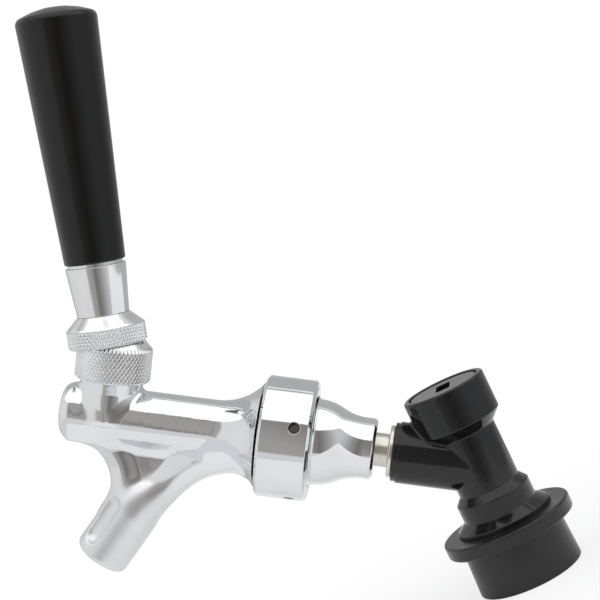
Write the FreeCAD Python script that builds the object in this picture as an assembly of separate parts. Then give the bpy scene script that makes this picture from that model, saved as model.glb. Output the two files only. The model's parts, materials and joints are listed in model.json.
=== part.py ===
import FreeCAD, Part
import math
import os

from FreeCAD import Placement, Rotation, Vector

# Beer faucet on a ball-lock keg disconnect, held open by its lever.
# Units are millimetres. +Z runs up the disconnect's barrel, the origin is on the barrel's axis
# at the rim that goes over the keg post, and the faucet points towards -X.
# Three local frames are used. The post frame is the part's own frame. In the faucet frame X runs
# along the faucet's axis towards its front, Z stands square to it, and the origin is where that
# axis meets the barrel's. In the lever frame Z runs up the lever from the centre of its ball.

# Clearances
RUNNING = 0.05
THREAD = 0.05
SEAT_GAP = 0.1
MOVING_GAP = 0.3
SPRING_GAP = 0.3

# Edges that several turned pieces share, and how far a cutter runs past the face that it opens
EDGE_BREAK = 0.4
THREAD_EDGE = 0.6
OVERCUT = 1.0

# Spans that a spring's wire is swept in, for each turn
COIL_SPANS_A_TURN = 4

# Angles, degrees
FAUCET_RISE = 32.1
LEVER_LEAN = 14.75
LEVER_SWING = 30.0
SPOUT_LEAN = 28.5

# Disconnect body, heights along the barrel
MOUTH_R = 9.8
MOUTH_DEPTH = 10.5
SEAL_BORE_R = 8.45
SEAL_BORE_LEN = 6.0
LOWER_TUBE_R = 13.4
COLLAR_STEP = 1.95
COLLAR_BOTTOM_Z = 17.5
COLLAR_TOP_Z = 20.95
RING_R = 12.1
RING_BOTTOM_Z = 23.4
RING_TOP_Z = 28.95
BARREL_TUBE_R = 9.95
BARREL_BOTTOM_Z = 31.4
HEAD_R = 13.4
HEAD_NECK_Z = 49.75
HEAD_BOTTOM_Z = 53.25
HEAD_TOP_Z = 65.6
HEAD_EDGE = 0.8
CHAMBER_R = 6.8
CHAMBER_FLOOR_Z = 22.0
PIN_HOLE_R = 3.0
SEAT_WALL = 3.2
ARM_R = 9.65
ARM_RIM_R = 9.2
ARM_RIM_LEN = 1.5
ARM_REACH = 26.8
ARM_AXIS_Z = 39.0
ARM_BORE_R = 2.4
INSERT_R = 5.9
INSERT_LEN = 12.0

# Cap of the disconnect
CAP_R = 11.1
CAP_THICK = 3.9
CAP_GROOVE = 0.5
CAP_SINK = 0.3
CAP_PLUG_R = 9.2
CAP_PLUG_LEN = 5.0
CAP_SLOT_LONG = 10.0
CAP_SLOT_WIDE = 4.6
CAP_SLOT_DEEP = 2.4
CAP_SLOT_CORNER = 0.9
CAP_POCKET_R = 6.2
CAP_POCKET_DEPTH = 1.5
CAP_GASKET_THICK = 0.8

# Poppet inside the disconnect
POPPET_PIN_R = 2.2
POPPET_STEM_R = 2.8
POPPET_EDGE = 0.5
POPPET_TIP_Z = 17.3
POPPET_HEAD_R = 5.6
POPPET_HEAD_THICK = 2.4
POPPET_GUIDE_R = 6.4
POPPET_GUIDE_THICK = 1.6
POPPET_FLOWS = 3
POPPET_FLOW_R = 1.5
POPPET_SPIGOT_R = 3.4
POPPET_SPIGOT_LEN = 7.0
POPPET_SEAL_WIRE_R = 0.9
POPPET_SPRING_WIRE_R = 0.5
POPPET_SPRING_TURNS = 7

# Locking sleeve, its ring, spring and balls
SLEEVE_FLANGE_REACH = 4.6
SLEEVE_FLANGE_BOTTOM_Z = 15.05
SLEEVE_TOP_Z = 19.65
SLEEVE_WALL = 1.1
SLEEVE_SKIRT_FLARE = 0.6
SLEEVE_SEAT_Z = 8.6
SLEEVE_TRAVEL = 4.5
SLEEVE_EDGE = 0.6
BALL_COUNT = 3
BALL_R = 2.4
BALL_Z = 6.5
BALL_TRAVEL = 1.2
RAMP_TOP_Z = 7.0
RING_WIRE = 1.0
RING_Z = 0.6
RING_DEPTH = 0.8
RING_OPENING = 3.0
SLEEVE_SPRING_WIRE_R = 0.55
SLEEVE_SPRING_TURNS = 3

# Threaded stud between the disconnect's arm and the shank adapter
STUD_R = 5.3
STUD_FLANGE_R = 8.15
STUD_FLANGE_THICK = 1.5
STUD_NECK_LEN = 4.15
STUD_GRIP_LEN = 8.0
STUD_BORE_R = 2.2
FLARE_LEN = 2.6
FLARE_TIP_R = 3.0
FLARE_SEAL_THICK = 1.2
FLARE_SEAL_R = 5.1
FLARE_SEAL_HOLE_R = 2.5
INSERT_EDGE = 1.0

# Shank adapter
ADAPTER_LEN = 27.3
ADAPTER_REAR_R = 9.6
ADAPTER_BEVEL = 0.9
ADAPTER_WAIST_LEN = 3.5
ADAPTER_SHOULDER_STEP = 0.8
ADAPTER_THREAD_LEN = 8.6
ADAPTER_WAY_R = 2.8
ADAPTER_BORE_R = 6.6
ADAPTER_BORE_LEN = 13.5

# Coupling nut, its snap ring and the washer between body and adapter
NUT_WALL = 4.75
NUT_LEN = 16.3
NUT_CHAMFER = 0.7
NUT_LIP = 4.3
NUT_TO_FLARE = 0.8
NUT_HOLE_R = 1.8
NUT_HOLE_DEEP = 3.0
NUT_HOLE_FROM_REAR = 5.2
NUT_HOLE_COUNT = 4
NUT_HOLE_TURN = 10.0
SNAP_THICK = 1.5
SNAP_GROOVE_DEPTH = 1.0
SNAP_STAND = 1.1
SNAP_TO_THREAD = 0.7
SNAP_GAP = 5.0
COUPLING_WASHER_THICK = 1.5
COUPLING_WASHER_R = 12.2
COUPLING_WASHER_HOLE_R = 8.0

# Faucet body
PILOT_R = 12.5
PILOT_LEN = 7.9
FLARE_R = 16.6
FLARE_SWEEP_R = 18.0
BODY_BARREL_R = 9.1
BODY_FRONT_EDGE = 3.6
BOSS_FROM_REAR = 56.4
FRONT_FROM_BOSS = 14.8
BOSS_INSET = 0.1
BOSS_TOP_R = 9.9
NECK_R = 9.6
NECK_TOP_H = 18.0
SEAT_BORE_R = 4.3
SEAT_FROM_REAR = 11.3
SEAT_THICK = 2.6
REAR_POCKET_R = 7.2
CHAMBER_FRONT_WALL = 3.8
SPOUT_R = 8.85
SPOUT_TIP_EDGE = 1.9
SPOUT_OUTLET_R = 4.9
SPOUT_OUTLET_DEPTH = 12.0
SPOUT_TIP_S_FROM_BOSS = -1.8
SPOUT_TIP_H = -46.4
SPOUT_STRAIGHT = 18.5
PASSAGE_ARM_R = 7.6
PASSAGE_ARM_DROP = 5.3
PASSAGE_START = 1.9
PASSAGE_LEAD_IN = 20.0
PASSAGE_LEAD_OUT = 14.0
PASSAGE_R = 4.0
PASSAGE_FROM_SEAT = 1.5
SOCKET_R = 5.6
VENT_ARM_R = 5.2
VENT_BEND_R = 14.0
VENT_R = 1.5
ARM_BURY = 0.3
WEB_HALF = 4.0
WEB_TOP_H = -3.0
WEB_ABOVE_SPOUT = 1.5
WEB_BEHIND_BEND = 9.0
WEB_FILLET = 3.0
BOSS_FILLET = 2.0
LEAST_CREASE = 15.0
FLUTE_LONG = 17.8
FLUTE_CUTTER_R = 4.2
FLUTE_DEPTH = 1.3
FLUTE_FROM_TIP = 12.6
FLUTE_TURN = 42.0

# Shaft, its seal, washer and nut
SHAFT_ROD_R = 2.4
SHAFT_LAND_R = 5.5
SHAFT_LAND_REAR = 19.0
SHAFT_LAND_FRONT = 5.8
SHAFT_SEAL_WIRE_R = 0.9
SHAFT_SEAL_FROM_REAR = 4.0
SEAT_WASHER_R = 5.9
SEAT_WASHER_THICK = 3.0
SEAT_WASHER_EDGE = 1.0
SHAFT_NUT_FLATS = 8.0
SHAFT_NUT_THICK = 3.2
SHAFT_TAIL = 1.2
SHAFT_STOP_R = 3.2
SHAFT_STOP_LEN = 1.2
TIP_POCKET_UNDER = 0.6
TIP_POCKET_STRAIGHT = 1.2
TIP_POCKET_FLARE = 2.1

# Lever and what holds its ball
LEVER_BALL_R = 6.0
LEVER_BALL_H = 13.8
LEVER_TIP_R = 2.6
LEVER_TIP_REACH = 13.8
LEVER_SHANK_R = 2.0
LEVER_NECK_R = 3.6
LEVER_THREAD_R = 4.76
LEVER_THREAD_LEN = 17.5
LEVER_NECK_CONE = 1.2
LEVER_ROOT = 0.2
BUSHING_R = 6.6
BUSHING_BOTTOM_H = 7.3
BUSHING_TOP_H = 12.3
BUSHING_HOLE_R = 4.8
BALL_WASHER_BOTTOM_H = 15.4
BALL_WASHER_HOLE_R = 5.15
FRICTION_WASHER_THICK = 0.8
FRICTION_WASHER_R = 9.4
FRICTION_WASHER_HOLE_R = 5.8

# Bonnet
BONNET_R = 12.0
BONNET_BOTTOM_H = 11.75
BONNET_GRIP_BOTTOM_H = 12.4
BONNET_GRIP_TOP_H = 22.0
BONNET_TOP_R = 9.8
BONNET_HOLE_R = 6.0
BONNET_MOUTH_R = 7.5

# Lever collar, ferrule and handle, heights up the lever
COLLAR_BOTTOM_L = 9.1
GRIP_TOP_L = 14.8
LEVER_COLLAR_R = 12.5
LEVER_COLLAR_TOP_R = 8.25
COLLAR_EDGE = 0.3
HOLLOW_EDGE_L = 11.6
HOLLOW_ROOF_R = 7.6
HOLLOW_ROOF_L = 13.6
FERRULE_BOTTOM_L = 18.75
FERRULE_BOTTOM_R = 8.25
FERRULE_TOP_L = 34.4
FERRULE_TOP_R = 9.65
FERRULE_EDGE = 0.35
SHADOW_RING_R = 8.7
SHADOW_RING_THICK = 1.0
SPIGOT_R = 6.5
SPIGOT_LEN = 5.0
HANDLE_BOTTOM_R = 9.65
HANDLE_BOTTOM_EDGE = 0.5
HANDLE_TOP_R = 12.8
HANDLE_LEN = 80.0
HANDLE_RIM_R = 2.4
HANDLE_CROWN = 2.2
HANGER_BOLT_R = 3.95
HANGER_BOLT_LEN = 26.0
HANGER_BOLT_TIP_R = 0.8
HANGER_BOLT_TIP_LEN = 4.0
LEVER_TO_BOLT = 0.8

# The collar leaves room for the sleeve's spring around the lower tube, and the sleeve runs on it
COLLAR_R = LOWER_TUBE_R + COLLAR_STEP
SLEEVE_BORE_R = COLLAR_R + RUNNING
SLEEVE_SKIRT_TOP_R = SLEEVE_BORE_R + SLEEVE_WALL
SLEEVE_SKIRT_RIM_R = SLEEVE_SKIRT_TOP_R + SLEEVE_SKIRT_FLARE
SLEEVE_FLANGE_R = SLEEVE_SKIRT_TOP_R + SLEEVE_FLANGE_REACH

# The snap ring on the body's pilot passes through the nut's thread, which sets adapter and nut
ADAPTER_THREAD_R = PILOT_R + SNAP_STAND + SNAP_TO_THREAD
ADAPTER_SHOULDER_R = ADAPTER_THREAD_R - ADAPTER_SHOULDER_STEP
NUT_R = ADAPTER_THREAD_R + NUT_WALL

# The boss's cone starts just inside the barrel's sides
BOSS_ROOT_R = BODY_BARREL_R - BOSS_INSET

# Places along the faucet's axis, worked out from the sizes above
ARM_END = ARM_REACH
STUD_FLANGE_END = ARM_END + STUD_FLANGE_THICK
ADAPTER_REAR = STUD_FLANGE_END + STUD_NECK_LEN
ADAPTER_FRONT = ADAPTER_REAR + ADAPTER_LEN
BODY_REAR = ADAPTER_FRONT + COUPLING_WASHER_THICK
BODY_SHOULDER = BODY_REAR + PILOT_LEN
NUT_FRONT = BODY_SHOULDER - NUT_TO_FLARE
NUT_REAR = NUT_FRONT - NUT_LEN
LIP_REAR = NUT_FRONT - NUT_LIP
SNAP_REAR = LIP_REAR - SNAP_THICK
SEAT_REAR = BODY_REAR + SEAT_FROM_REAR
SEAT_FRONT = SEAT_REAR + SEAT_THICK
BOSS_S = BODY_REAR + BOSS_FROM_REAR
BODY_FRONT = BOSS_S + FRONT_FROM_BOSS
CHAMBER_FRONT = BODY_FRONT - CHAMBER_FRONT_WALL
SPOUT_TIP_S = BOSS_S + SPOUT_TIP_S_FROM_BOSS

# Spout direction, its square and the spout's two ends, in the faucet frame
LEAN = math.radians(SPOUT_LEAN)
SPOUT_DIR = Vector(math.sin(LEAN), 0, -math.cos(LEAN))
SPOUT_SIDE = Vector(math.cos(LEAN), 0, math.sin(LEAN))
SPOUT_TIP = Vector(SPOUT_TIP_S, 0, SPOUT_TIP_H)
SPOUT_TOP = SPOUT_TIP - SPOUT_DIR * SPOUT_STRAIGHT

# The shaft moves with the lever's tip, and the tip stands behind the ball when the faucet is open
LEAN_OPEN = math.radians(LEVER_LEAN)
LEAN_SHUT = math.radians(LEVER_LEAN - LEVER_SWING)
TIP_S = BOSS_S - LEVER_TIP_REACH * math.sin(LEAN_OPEN)
SHAFT_TRAVEL = LEVER_TIP_REACH * (math.sin(LEAN_OPEN) - math.sin(LEAN_SHUT))
FRICTION_WASHER_BOTTOM_H = NECK_TOP_H + SEAT_GAP
BONNET_ROOF_H = FRICTION_WASHER_BOTTOM_H + FRICTION_WASHER_THICK

# The bonnet's shoulder is round about the lever's ball, and the collar swings past it with a gap
SHOULDER_R = math.hypot(BONNET_R, BONNET_GRIP_TOP_H - LEVER_BALL_H)
BONNET_TOP_H = LEVER_BALL_H + math.sqrt(SHOULDER_R ** 2 - BONNET_TOP_R ** 2)
HOLLOW_R = math.sqrt((SHOULDER_R + MOVING_GAP) ** 2 - COLLAR_BOTTOM_L ** 2)

# Places up the lever
LEVER_THREAD_TOP_L = HOLLOW_ROOF_L + LEVER_THREAD_LEN
BOLT_BOTTOM_L = LEVER_THREAD_TOP_L + LEVER_TO_BOLT
HANDLE_BOTTOM_L = FERRULE_TOP_L + SHADOW_RING_THICK
SPIGOT_TOP_L = HANDLE_BOTTOM_L + SPIGOT_LEN

# The balls' ramp in the sleeve: its slope moves the balls out as the sleeve is pulled up
RAMP_SLOPE = BALL_TRAVEL / SLEEVE_TRAVEL
LAND_R = LOWER_TUBE_R + RUNNING
RAMP_AT_BALL_R = LAND_R + RAMP_SLOPE * (RAMP_TOP_Z - BALL_Z)
BALL_RADIAL = RAMP_AT_BALL_R - (BALL_R + RUNNING) * math.hypot(1, RAMP_SLOPE)

FACING_FRONT = Rotation(Vector(0, 0, 1), 180)
RISING = Rotation(Vector(0, 1, 0), FAUCET_RISE).multiply(FACING_FRONT)
FAUCET = Placement(Vector(0, 0, ARM_AXIS_Z), RISING)
BOSS = FAUCET.multiply(Placement(Vector(BOSS_S, 0, 0), Rotation()))
LEVER = BOSS.multiply(Placement(Vector(0, 0, LEVER_BALL_H), Rotation(Vector(0, 1, 0), LEVER_LEAN)))
POST = Placement()


def face_of(points):
    """A flat face in the XZ plane from its corners, each an (x, z) pair."""
    corners = [Vector(x, 0, z) for x, z in points]
    return Part.Face(Part.makePolygon(corners + corners[:1]))


def turned_z(points):
    """A solid turned about Z from (radius, height) corners."""
    return face_of(points).revolve(Vector(0, 0, 0), Vector(0, 0, 1), 360)


def turned_x(points):
    """A solid turned about X from (place, radius) corners."""
    return face_of(points).revolve(Vector(0, 0, 0), Vector(1, 0, 0), 360)


def tube_x(start, end, outer, inner):
    """A plain tube or disc along X."""
    return turned_x([(start, inner), (end, inner), (end, outer), (start, outer)])


def rod_x(start, end, radius):
    """A plain cylinder along X."""
    return Part.makeCylinder(radius, end - start, Vector(start, 0, 0), Vector(1, 0, 0))


def tube_z(bottom, top, outer, inner):
    """A plain tube along Z."""
    return turned_z([(inner, bottom), (outer, bottom), (outer, top), (inner, top)])


def rod_z(bottom, top, radius):
    """A plain cylinder along Z."""
    return Part.makeCylinder(radius, top - bottom, Vector(0, 0, bottom))


def profile(start, *steps):
    """A closed face in the XZ plane. A step is a point, or two points for an arc through the first."""
    def at(pair):
        return Vector(pair[0], 0, pair[1])
    edges = []
    here = at(start)
    for step in steps + (start,):
        if isinstance(step[0], tuple):
            there = at(step[1])
            edges.append(Part.Arc(here, at(step[0]), there).toShape())
        else:
            there = at(step)
            if there.distanceToPoint(here) > 1e-6:
                edges.append(Part.LineSegment(here, there).toShape())
        here = there
    return Part.Face(Part.Wire(edges))


def ogee(start, end):
    """Two equal arcs, as profile steps, that leave one point and reach another level."""
    run = end[0] - start[0]
    rise = end[1] - start[1]
    radius = (run ** 2 + rise ** 2) / (4 * rise)
    half_turn = math.atan2(rise, run)
    along = radius * math.sin(half_turn)
    up = radius * (1 - math.cos(half_turn))
    middle = ((start[0] + end[0]) / 2, (start[1] + end[1]) / 2)
    return ((start[0] + along, start[1] + up), middle), ((end[0] - along, end[1] - up), end)


def spun_z(face):
    return face.revolve(Vector(0, 0, 0), Vector(0, 0, 1), 360)


def spun_x(face):
    return face.revolve(Vector(0, 0, 0), Vector(1, 0, 0), 360)


def on_arc(centre, radius, degrees):
    """A point on a circle in the XZ plane."""
    turn = math.radians(degrees)
    return (centre[0] + radius * math.cos(turn), centre[1] + radius * math.sin(turn))


def ring_z(height, ring_r, wire_r):
    """A round-section seal ring about Z."""
    return Part.makeTorus(ring_r, wire_r, Vector(0, 0, height))


def coil_z(bottom, top, mean_r, wire_r, turns):
    """A round-wire compression spring about Z between two seats, swept in equal short spans."""
    rise = top - bottom - 2 * wire_r
    spans = math.ceil(COIL_SPANS_A_TURN * turns)
    path = []
    for number in range(spans):
        span = Part.makeHelix(rise / turns, rise / spans, mean_r)
        span.rotate(Vector(0, 0, 0), Vector(0, 0, 1), 360 * turns * number / spans)
        span.translate(Vector(0, 0, rise * number / spans))
        path.extend(span.Edges)
    start = Part.Wire(Part.makeCircle(wire_r, Vector(mean_r, 0, 0), Vector(0, 1, 0)))
    coil = Part.Wire(path).makePipeShell([start], True, True)
    coil.translate(Vector(0, 0, bottom + wire_r))
    return coil


def edges_near(shape, test):
    """The edges whose middle point passes a test."""
    chosen = []
    for edge in shape.Edges:
        middle = edge.valueAt((edge.FirstParameter + edge.LastParameter) / 2)
        if test(middle):
            chosen.append(edge)
    return chosen


def creases(shape, low, high, least):
    """The edges inside a box where two faces meet at more than the least angle, in degrees."""
    def sharp(edge, middle):
        normals = []
        for face in shape.ancestorsOfType(edge, Part.Face):
            u, v = face.Surface.parameter(middle)
            normals.append(face.normalAt(u, v))
        return len(normals) == 2 and math.degrees(normals[0].getAngle(normals[1])) > least
    chosen = []
    for edge in shape.Edges:
        middle = edge.valueAt((edge.FirstParameter + edge.LastParameter) / 2)
        inside = all(a < m < b for a, m, b in zip(low, middle, high))
        if inside and sharp(edge, middle):
            chosen.append(edge)
    return chosen


def cap_seat_z():
    """Height of the ledge in the head that the cap's gasket lies on."""
    return HEAD_TOP_Z - CAP_SINK - CAP_THICK - CAP_GASKET_THICK


def make_disconnect_body():
    seat_top = CHAMBER_FLOOR_Z
    seat_bottom = seat_top - SEAT_WALL
    outer = turned_z([
        (0, 0), (LOWER_TUBE_R, 0), (LOWER_TUBE_R, COLLAR_BOTTOM_Z), (COLLAR_R, COLLAR_BOTTOM_Z),
        (COLLAR_R, COLLAR_TOP_Z), (RING_R, RING_BOTTOM_Z), (RING_R, RING_TOP_Z),
        (BARREL_TUBE_R, BARREL_BOTTOM_Z), (BARREL_TUBE_R, HEAD_NECK_Z), (HEAD_R, HEAD_BOTTOM_Z),
        (HEAD_R, HEAD_TOP_Z - HEAD_EDGE), (HEAD_R - HEAD_EDGE, HEAD_TOP_Z), (0, HEAD_TOP_Z),
    ])
    arm = rod_x(0, ARM_END - ARM_RIM_LEN, ARM_R).fuse(rod_x(0, ARM_END, ARM_RIM_R))
    arm.Placement = FAUCET
    body = outer.fuse(arm)
    hollow = rod_z(0, MOUTH_DEPTH, MOUTH_R)
    hollow = hollow.fuse(rod_z(MOUTH_DEPTH, MOUTH_DEPTH + SEAL_BORE_LEN, SEAL_BORE_R))
    hollow = hollow.fuse(rod_z(MOUTH_DEPTH + SEAL_BORE_LEN, seat_bottom, CHAMBER_R))
    hollow = hollow.fuse(rod_z(seat_bottom, seat_top, PIN_HOLE_R))
    hollow = hollow.fuse(rod_z(seat_top, cap_seat_z(), CHAMBER_R))
    hollow = hollow.fuse(rod_z(cap_seat_z() - CAP_PLUG_LEN, cap_seat_z(), CAP_PLUG_R))
    hollow = hollow.fuse(rod_z(cap_seat_z(), HEAD_TOP_Z, CAP_R + CAP_GROOVE))
    body = body.cut(hollow)
    arm_hollow = rod_x(0, ARM_END, ARM_BORE_R).fuse(rod_x(ARM_END - INSERT_LEN, ARM_END, INSERT_R))
    arm_hollow.Placement = FAUCET
    body = body.cut(arm_hollow)
    body = body.cut(tube_z(RING_Z, RING_Z + RING_WIRE, LOWER_TUBE_R + OVERCUT, LOWER_TUBE_R - RING_DEPTH))
    for number in range(BALL_COUNT):
        hole = rod_x(MOUTH_R - OVERCUT, LOWER_TUBE_R + OVERCUT, BALL_R + RUNNING)
        hole.translate(Vector(0, 0, BALL_Z))
        hole.rotate(Vector(0, 0, 0), Vector(0, 0, 1), ball_turn(number))
        body = body.cut(hole)
    return body


def ball_turn(number):
    """Direction of a ball about the barrel, degrees from +X."""
    return 60 + 360 * number / BALL_COUNT


def plug_end_z():
    """Lower end of the cap's plug."""
    return cap_seat_z() - CAP_PLUG_LEN


def spring_roof_z():
    """Height in the cap's plug that the poppet's spring pushes against."""
    return plug_end_z() + CAP_POCKET_DEPTH


def cap_slot(top):
    """The cutter for the cap's slot, a bar with rounded corners across its face."""
    def upright(middle):
        return abs(middle.z - top + CAP_SLOT_DEEP / 2) < 1e-6
    corner = Vector(-CAP_SLOT_WIDE / 2, -CAP_SLOT_LONG / 2, top - CAP_SLOT_DEEP)
    slot = Part.makeBox(CAP_SLOT_WIDE, CAP_SLOT_LONG, CAP_SLOT_DEEP, corner)
    return slot.makeFillet(CAP_SLOT_CORNER, edges_near(slot, upright))


def make_cap():
    bottom = cap_seat_z() + CAP_GASKET_THICK
    top = bottom + CAP_THICK
    plug_r = CAP_PLUG_R - THREAD
    cap = turned_z([
        (0, plug_end_z()), (plug_r, plug_end_z()), (plug_r, bottom), (CAP_R, bottom),
        (CAP_R, top - EDGE_BREAK), (CAP_R - EDGE_BREAK, top), (0, top),
    ])
    return cap.cut(cap_slot(top)).cut(rod_z(plug_end_z(), spring_roof_z(), CAP_POCKET_R))


def make_cap_gasket():
    return tube_z(cap_seat_z(), cap_seat_z() + CAP_GASKET_THICK, CAP_R, CAP_PLUG_R)


def poppet_head_z():
    """Underside of the poppet's head, above its seal ring at rest on the chamber's floor."""
    return CHAMBER_FLOOR_Z + RUNNING + 2 * POPPET_SEAL_WIRE_R


def make_poppet():
    head = poppet_head_z()
    guide = head + POPPET_HEAD_THICK
    spigot = guide + POPPET_GUIDE_THICK
    top = spigot + POPPET_SPIGOT_LEN
    shoulder = CHAMBER_FLOOR_Z + SEAT_GAP
    poppet = turned_z([
        (0, POPPET_TIP_Z), (POPPET_PIN_R - POPPET_EDGE, POPPET_TIP_Z),
        (POPPET_PIN_R, POPPET_TIP_Z + POPPET_EDGE), (POPPET_PIN_R, shoulder),
        (POPPET_STEM_R, shoulder + POPPET_EDGE), (POPPET_STEM_R, head), (POPPET_HEAD_R, head),
        (POPPET_HEAD_R, guide), (POPPET_GUIDE_R, guide), (POPPET_GUIDE_R, spigot),
        (POPPET_SPIGOT_R, spigot), (POPPET_SPIGOT_R, top - POPPET_EDGE),
        (POPPET_SPIGOT_R - POPPET_EDGE, top), (0, top),
    ])
    for number in range(POPPET_FLOWS):
        flow = rod_z(guide, spigot, POPPET_FLOW_R)
        flow.translate(Vector(POPPET_GUIDE_R, 0, 0))
        flow.rotate(Vector(0, 0, 0), Vector(0, 0, 1), 360 * number / POPPET_FLOWS)
        poppet = poppet.cut(flow)
    return poppet


def make_poppet_seal():
    ring_r = POPPET_STEM_R + POPPET_SEAL_WIRE_R
    return ring_z(CHAMBER_FLOOR_Z + RUNNING + POPPET_SEAL_WIRE_R, ring_r, POPPET_SEAL_WIRE_R)


def make_poppet_spring():
    bottom = poppet_head_z() + POPPET_HEAD_THICK + POPPET_GUIDE_THICK
    mean_r = POPPET_SPIGOT_R + SPRING_GAP + POPPET_SPRING_WIRE_R
    return coil_z(bottom, spring_roof_z(), mean_r, POPPET_SPRING_WIRE_R, POPPET_SPRING_TURNS)


def make_locking_sleeve():
    rim_r = LAND_R + RAMP_SLOPE * RAMP_TOP_Z
    flange_z = SLEEVE_FLANGE_BOTTOM_Z
    return turned_z([
        (rim_r, 0), (SLEEVE_SKIRT_RIM_R, 0), (SLEEVE_SKIRT_TOP_R, flange_z),
        (SLEEVE_FLANGE_R - SLEEVE_EDGE, flange_z), (SLEEVE_FLANGE_R, flange_z + SLEEVE_EDGE),
        (SLEEVE_FLANGE_R, SLEEVE_TOP_Z - SLEEVE_EDGE), (SLEEVE_FLANGE_R - SLEEVE_EDGE, SLEEVE_TOP_Z),
        (SLEEVE_BORE_R, SLEEVE_TOP_Z), (SLEEVE_BORE_R, SLEEVE_SEAT_Z), (LAND_R, SLEEVE_SEAT_Z),
        (LAND_R, RAMP_TOP_Z),
    ])


def make_sleeve_ring():
    outer = LAND_R + RAMP_SLOPE * (RAMP_TOP_Z - RING_Z - RING_WIRE) - RUNNING
    ring = tube_z(RING_Z, RING_Z + RING_WIRE, outer, LOWER_TUBE_R - RING_DEPTH)
    corner = Vector(0, -RING_OPENING / 2, RING_Z - RING_WIRE)
    return ring.cut(Part.makeBox(outer, RING_OPENING, 3 * RING_WIRE, corner))


def make_sleeve_spring():
    mean_r = (LOWER_TUBE_R + COLLAR_R) / 2
    return coil_z(SLEEVE_SEAT_Z, COLLAR_BOTTOM_Z, mean_r, SLEEVE_SPRING_WIRE_R, SLEEVE_SPRING_TURNS)


def make_locking_ball(number):
    turn = math.radians(ball_turn(number))
    centre = Vector(BALL_RADIAL * math.cos(turn), BALL_RADIAL * math.sin(turn), BALL_Z)
    return Part.makeSphere(BALL_R, centre)


def stud_tip():
    """Where the stud's flared tip ends inside the adapter."""
    return ADAPTER_REAR + STUD_GRIP_LEN + FLARE_LEN


def make_stud():
    rear = ARM_END - INSERT_LEN
    tip = stud_tip()
    rim_r = STUD_FLANGE_R - EDGE_BREAK
    return turned_x([
        (rear, STUD_BORE_R), (tip, STUD_BORE_R), (tip, FLARE_TIP_R), (tip - FLARE_LEN, STUD_R),
        (STUD_FLANGE_END, STUD_R), (STUD_FLANGE_END, rim_r), (STUD_FLANGE_END - EDGE_BREAK, STUD_FLANGE_R),
        (ARM_END + EDGE_BREAK, STUD_FLANGE_R), (ARM_END, rim_r), (ARM_END, INSERT_R),
        (rear + INSERT_EDGE, INSERT_R), (rear, INSERT_R - INSERT_EDGE),
    ])


def make_flare_seal():
    return tube_x(stud_tip(), stud_tip() + FLARE_SEAL_THICK, FLARE_SEAL_R, FLARE_SEAL_HOLE_R)


def make_adapter():
    thread_rear = ADAPTER_FRONT - ADAPTER_THREAD_LEN
    waist_end = ADAPTER_REAR + ADAPTER_WAIST_LEN
    root_r = ADAPTER_THREAD_R - THREAD_EDGE
    adapter = spun_x(profile(
        (ADAPTER_REAR, 0), (ADAPTER_REAR, ADAPTER_REAR_R - ADAPTER_BEVEL),
        (ADAPTER_REAR + ADAPTER_BEVEL, ADAPTER_REAR_R), (waist_end, ADAPTER_REAR_R),
        *ogee((waist_end, ADAPTER_REAR_R), (thread_rear, ADAPTER_SHOULDER_R)),
        (thread_rear, root_r), (thread_rear + THREAD_EDGE, ADAPTER_THREAD_R),
        (ADAPTER_FRONT - THREAD_EDGE, ADAPTER_THREAD_R), (ADAPTER_FRONT, root_r), (ADAPTER_FRONT, 0),
    ))
    adapter = adapter.cut(rod_x(ADAPTER_REAR, stud_tip() + FLARE_SEAL_THICK, STUD_R))
    adapter = adapter.cut(rod_x(ADAPTER_REAR, ADAPTER_FRONT, ADAPTER_WAY_R))
    return adapter.cut(rod_x(ADAPTER_FRONT - ADAPTER_BORE_LEN, ADAPTER_FRONT, ADAPTER_BORE_R))


def make_coupling_washer():
    return tube_x(ADAPTER_FRONT, BODY_REAR, COUPLING_WASHER_R, COUPLING_WASHER_HOLE_R)


def make_coupling_nut():
    nut = turned_x([
        (NUT_REAR, ADAPTER_THREAD_R + THREAD), (LIP_REAR, ADAPTER_THREAD_R + THREAD),
        (LIP_REAR, PILOT_R + THREAD), (NUT_FRONT, PILOT_R + THREAD), (NUT_FRONT, NUT_R - NUT_CHAMFER),
        (NUT_FRONT - NUT_CHAMFER, NUT_R), (NUT_REAR + NUT_CHAMFER, NUT_R), (NUT_REAR, NUT_R - NUT_CHAMFER),
    ])
    floor = Vector(NUT_REAR + NUT_HOLE_FROM_REAR, NUT_R - NUT_HOLE_DEEP, 0)
    for number in range(NUT_HOLE_COUNT):
        hole = Part.makeCylinder(NUT_HOLE_R, NUT_HOLE_DEEP + OVERCUT, floor, Vector(0, 1, 0))
        turn = NUT_HOLE_TURN + 360 * number / NUT_HOLE_COUNT
        hole.rotate(Vector(0, 0, 0), Vector(1, 0, 0), turn)
        nut = nut.cut(hole)
    return nut


def make_snap_ring():
    outer = PILOT_R + SNAP_STAND
    ring = tube_x(SNAP_REAR, LIP_REAR, outer, PILOT_R - SNAP_GROOVE_DEPTH)
    corner = Vector(SNAP_REAR - SNAP_THICK, -SNAP_GAP / 2, 0)
    return ring.cut(Part.makeBox(3 * SNAP_THICK, SNAP_GAP, outer, corner))


def passage_path():
    """The beer passage's line, from the barrel's rear to the top of the straight spout."""
    start = Vector(BODY_SHOULDER + PASSAGE_START, 0, -PASSAGE_ARM_DROP)
    curve = Part.BezierCurve()
    lead_out = SPOUT_TOP - SPOUT_DIR * PASSAGE_LEAD_OUT
    curve.setPoles([start, start + Vector(PASSAGE_LEAD_IN, 0, 0), lead_out, SPOUT_TOP])
    return curve.toShape(), start


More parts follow.
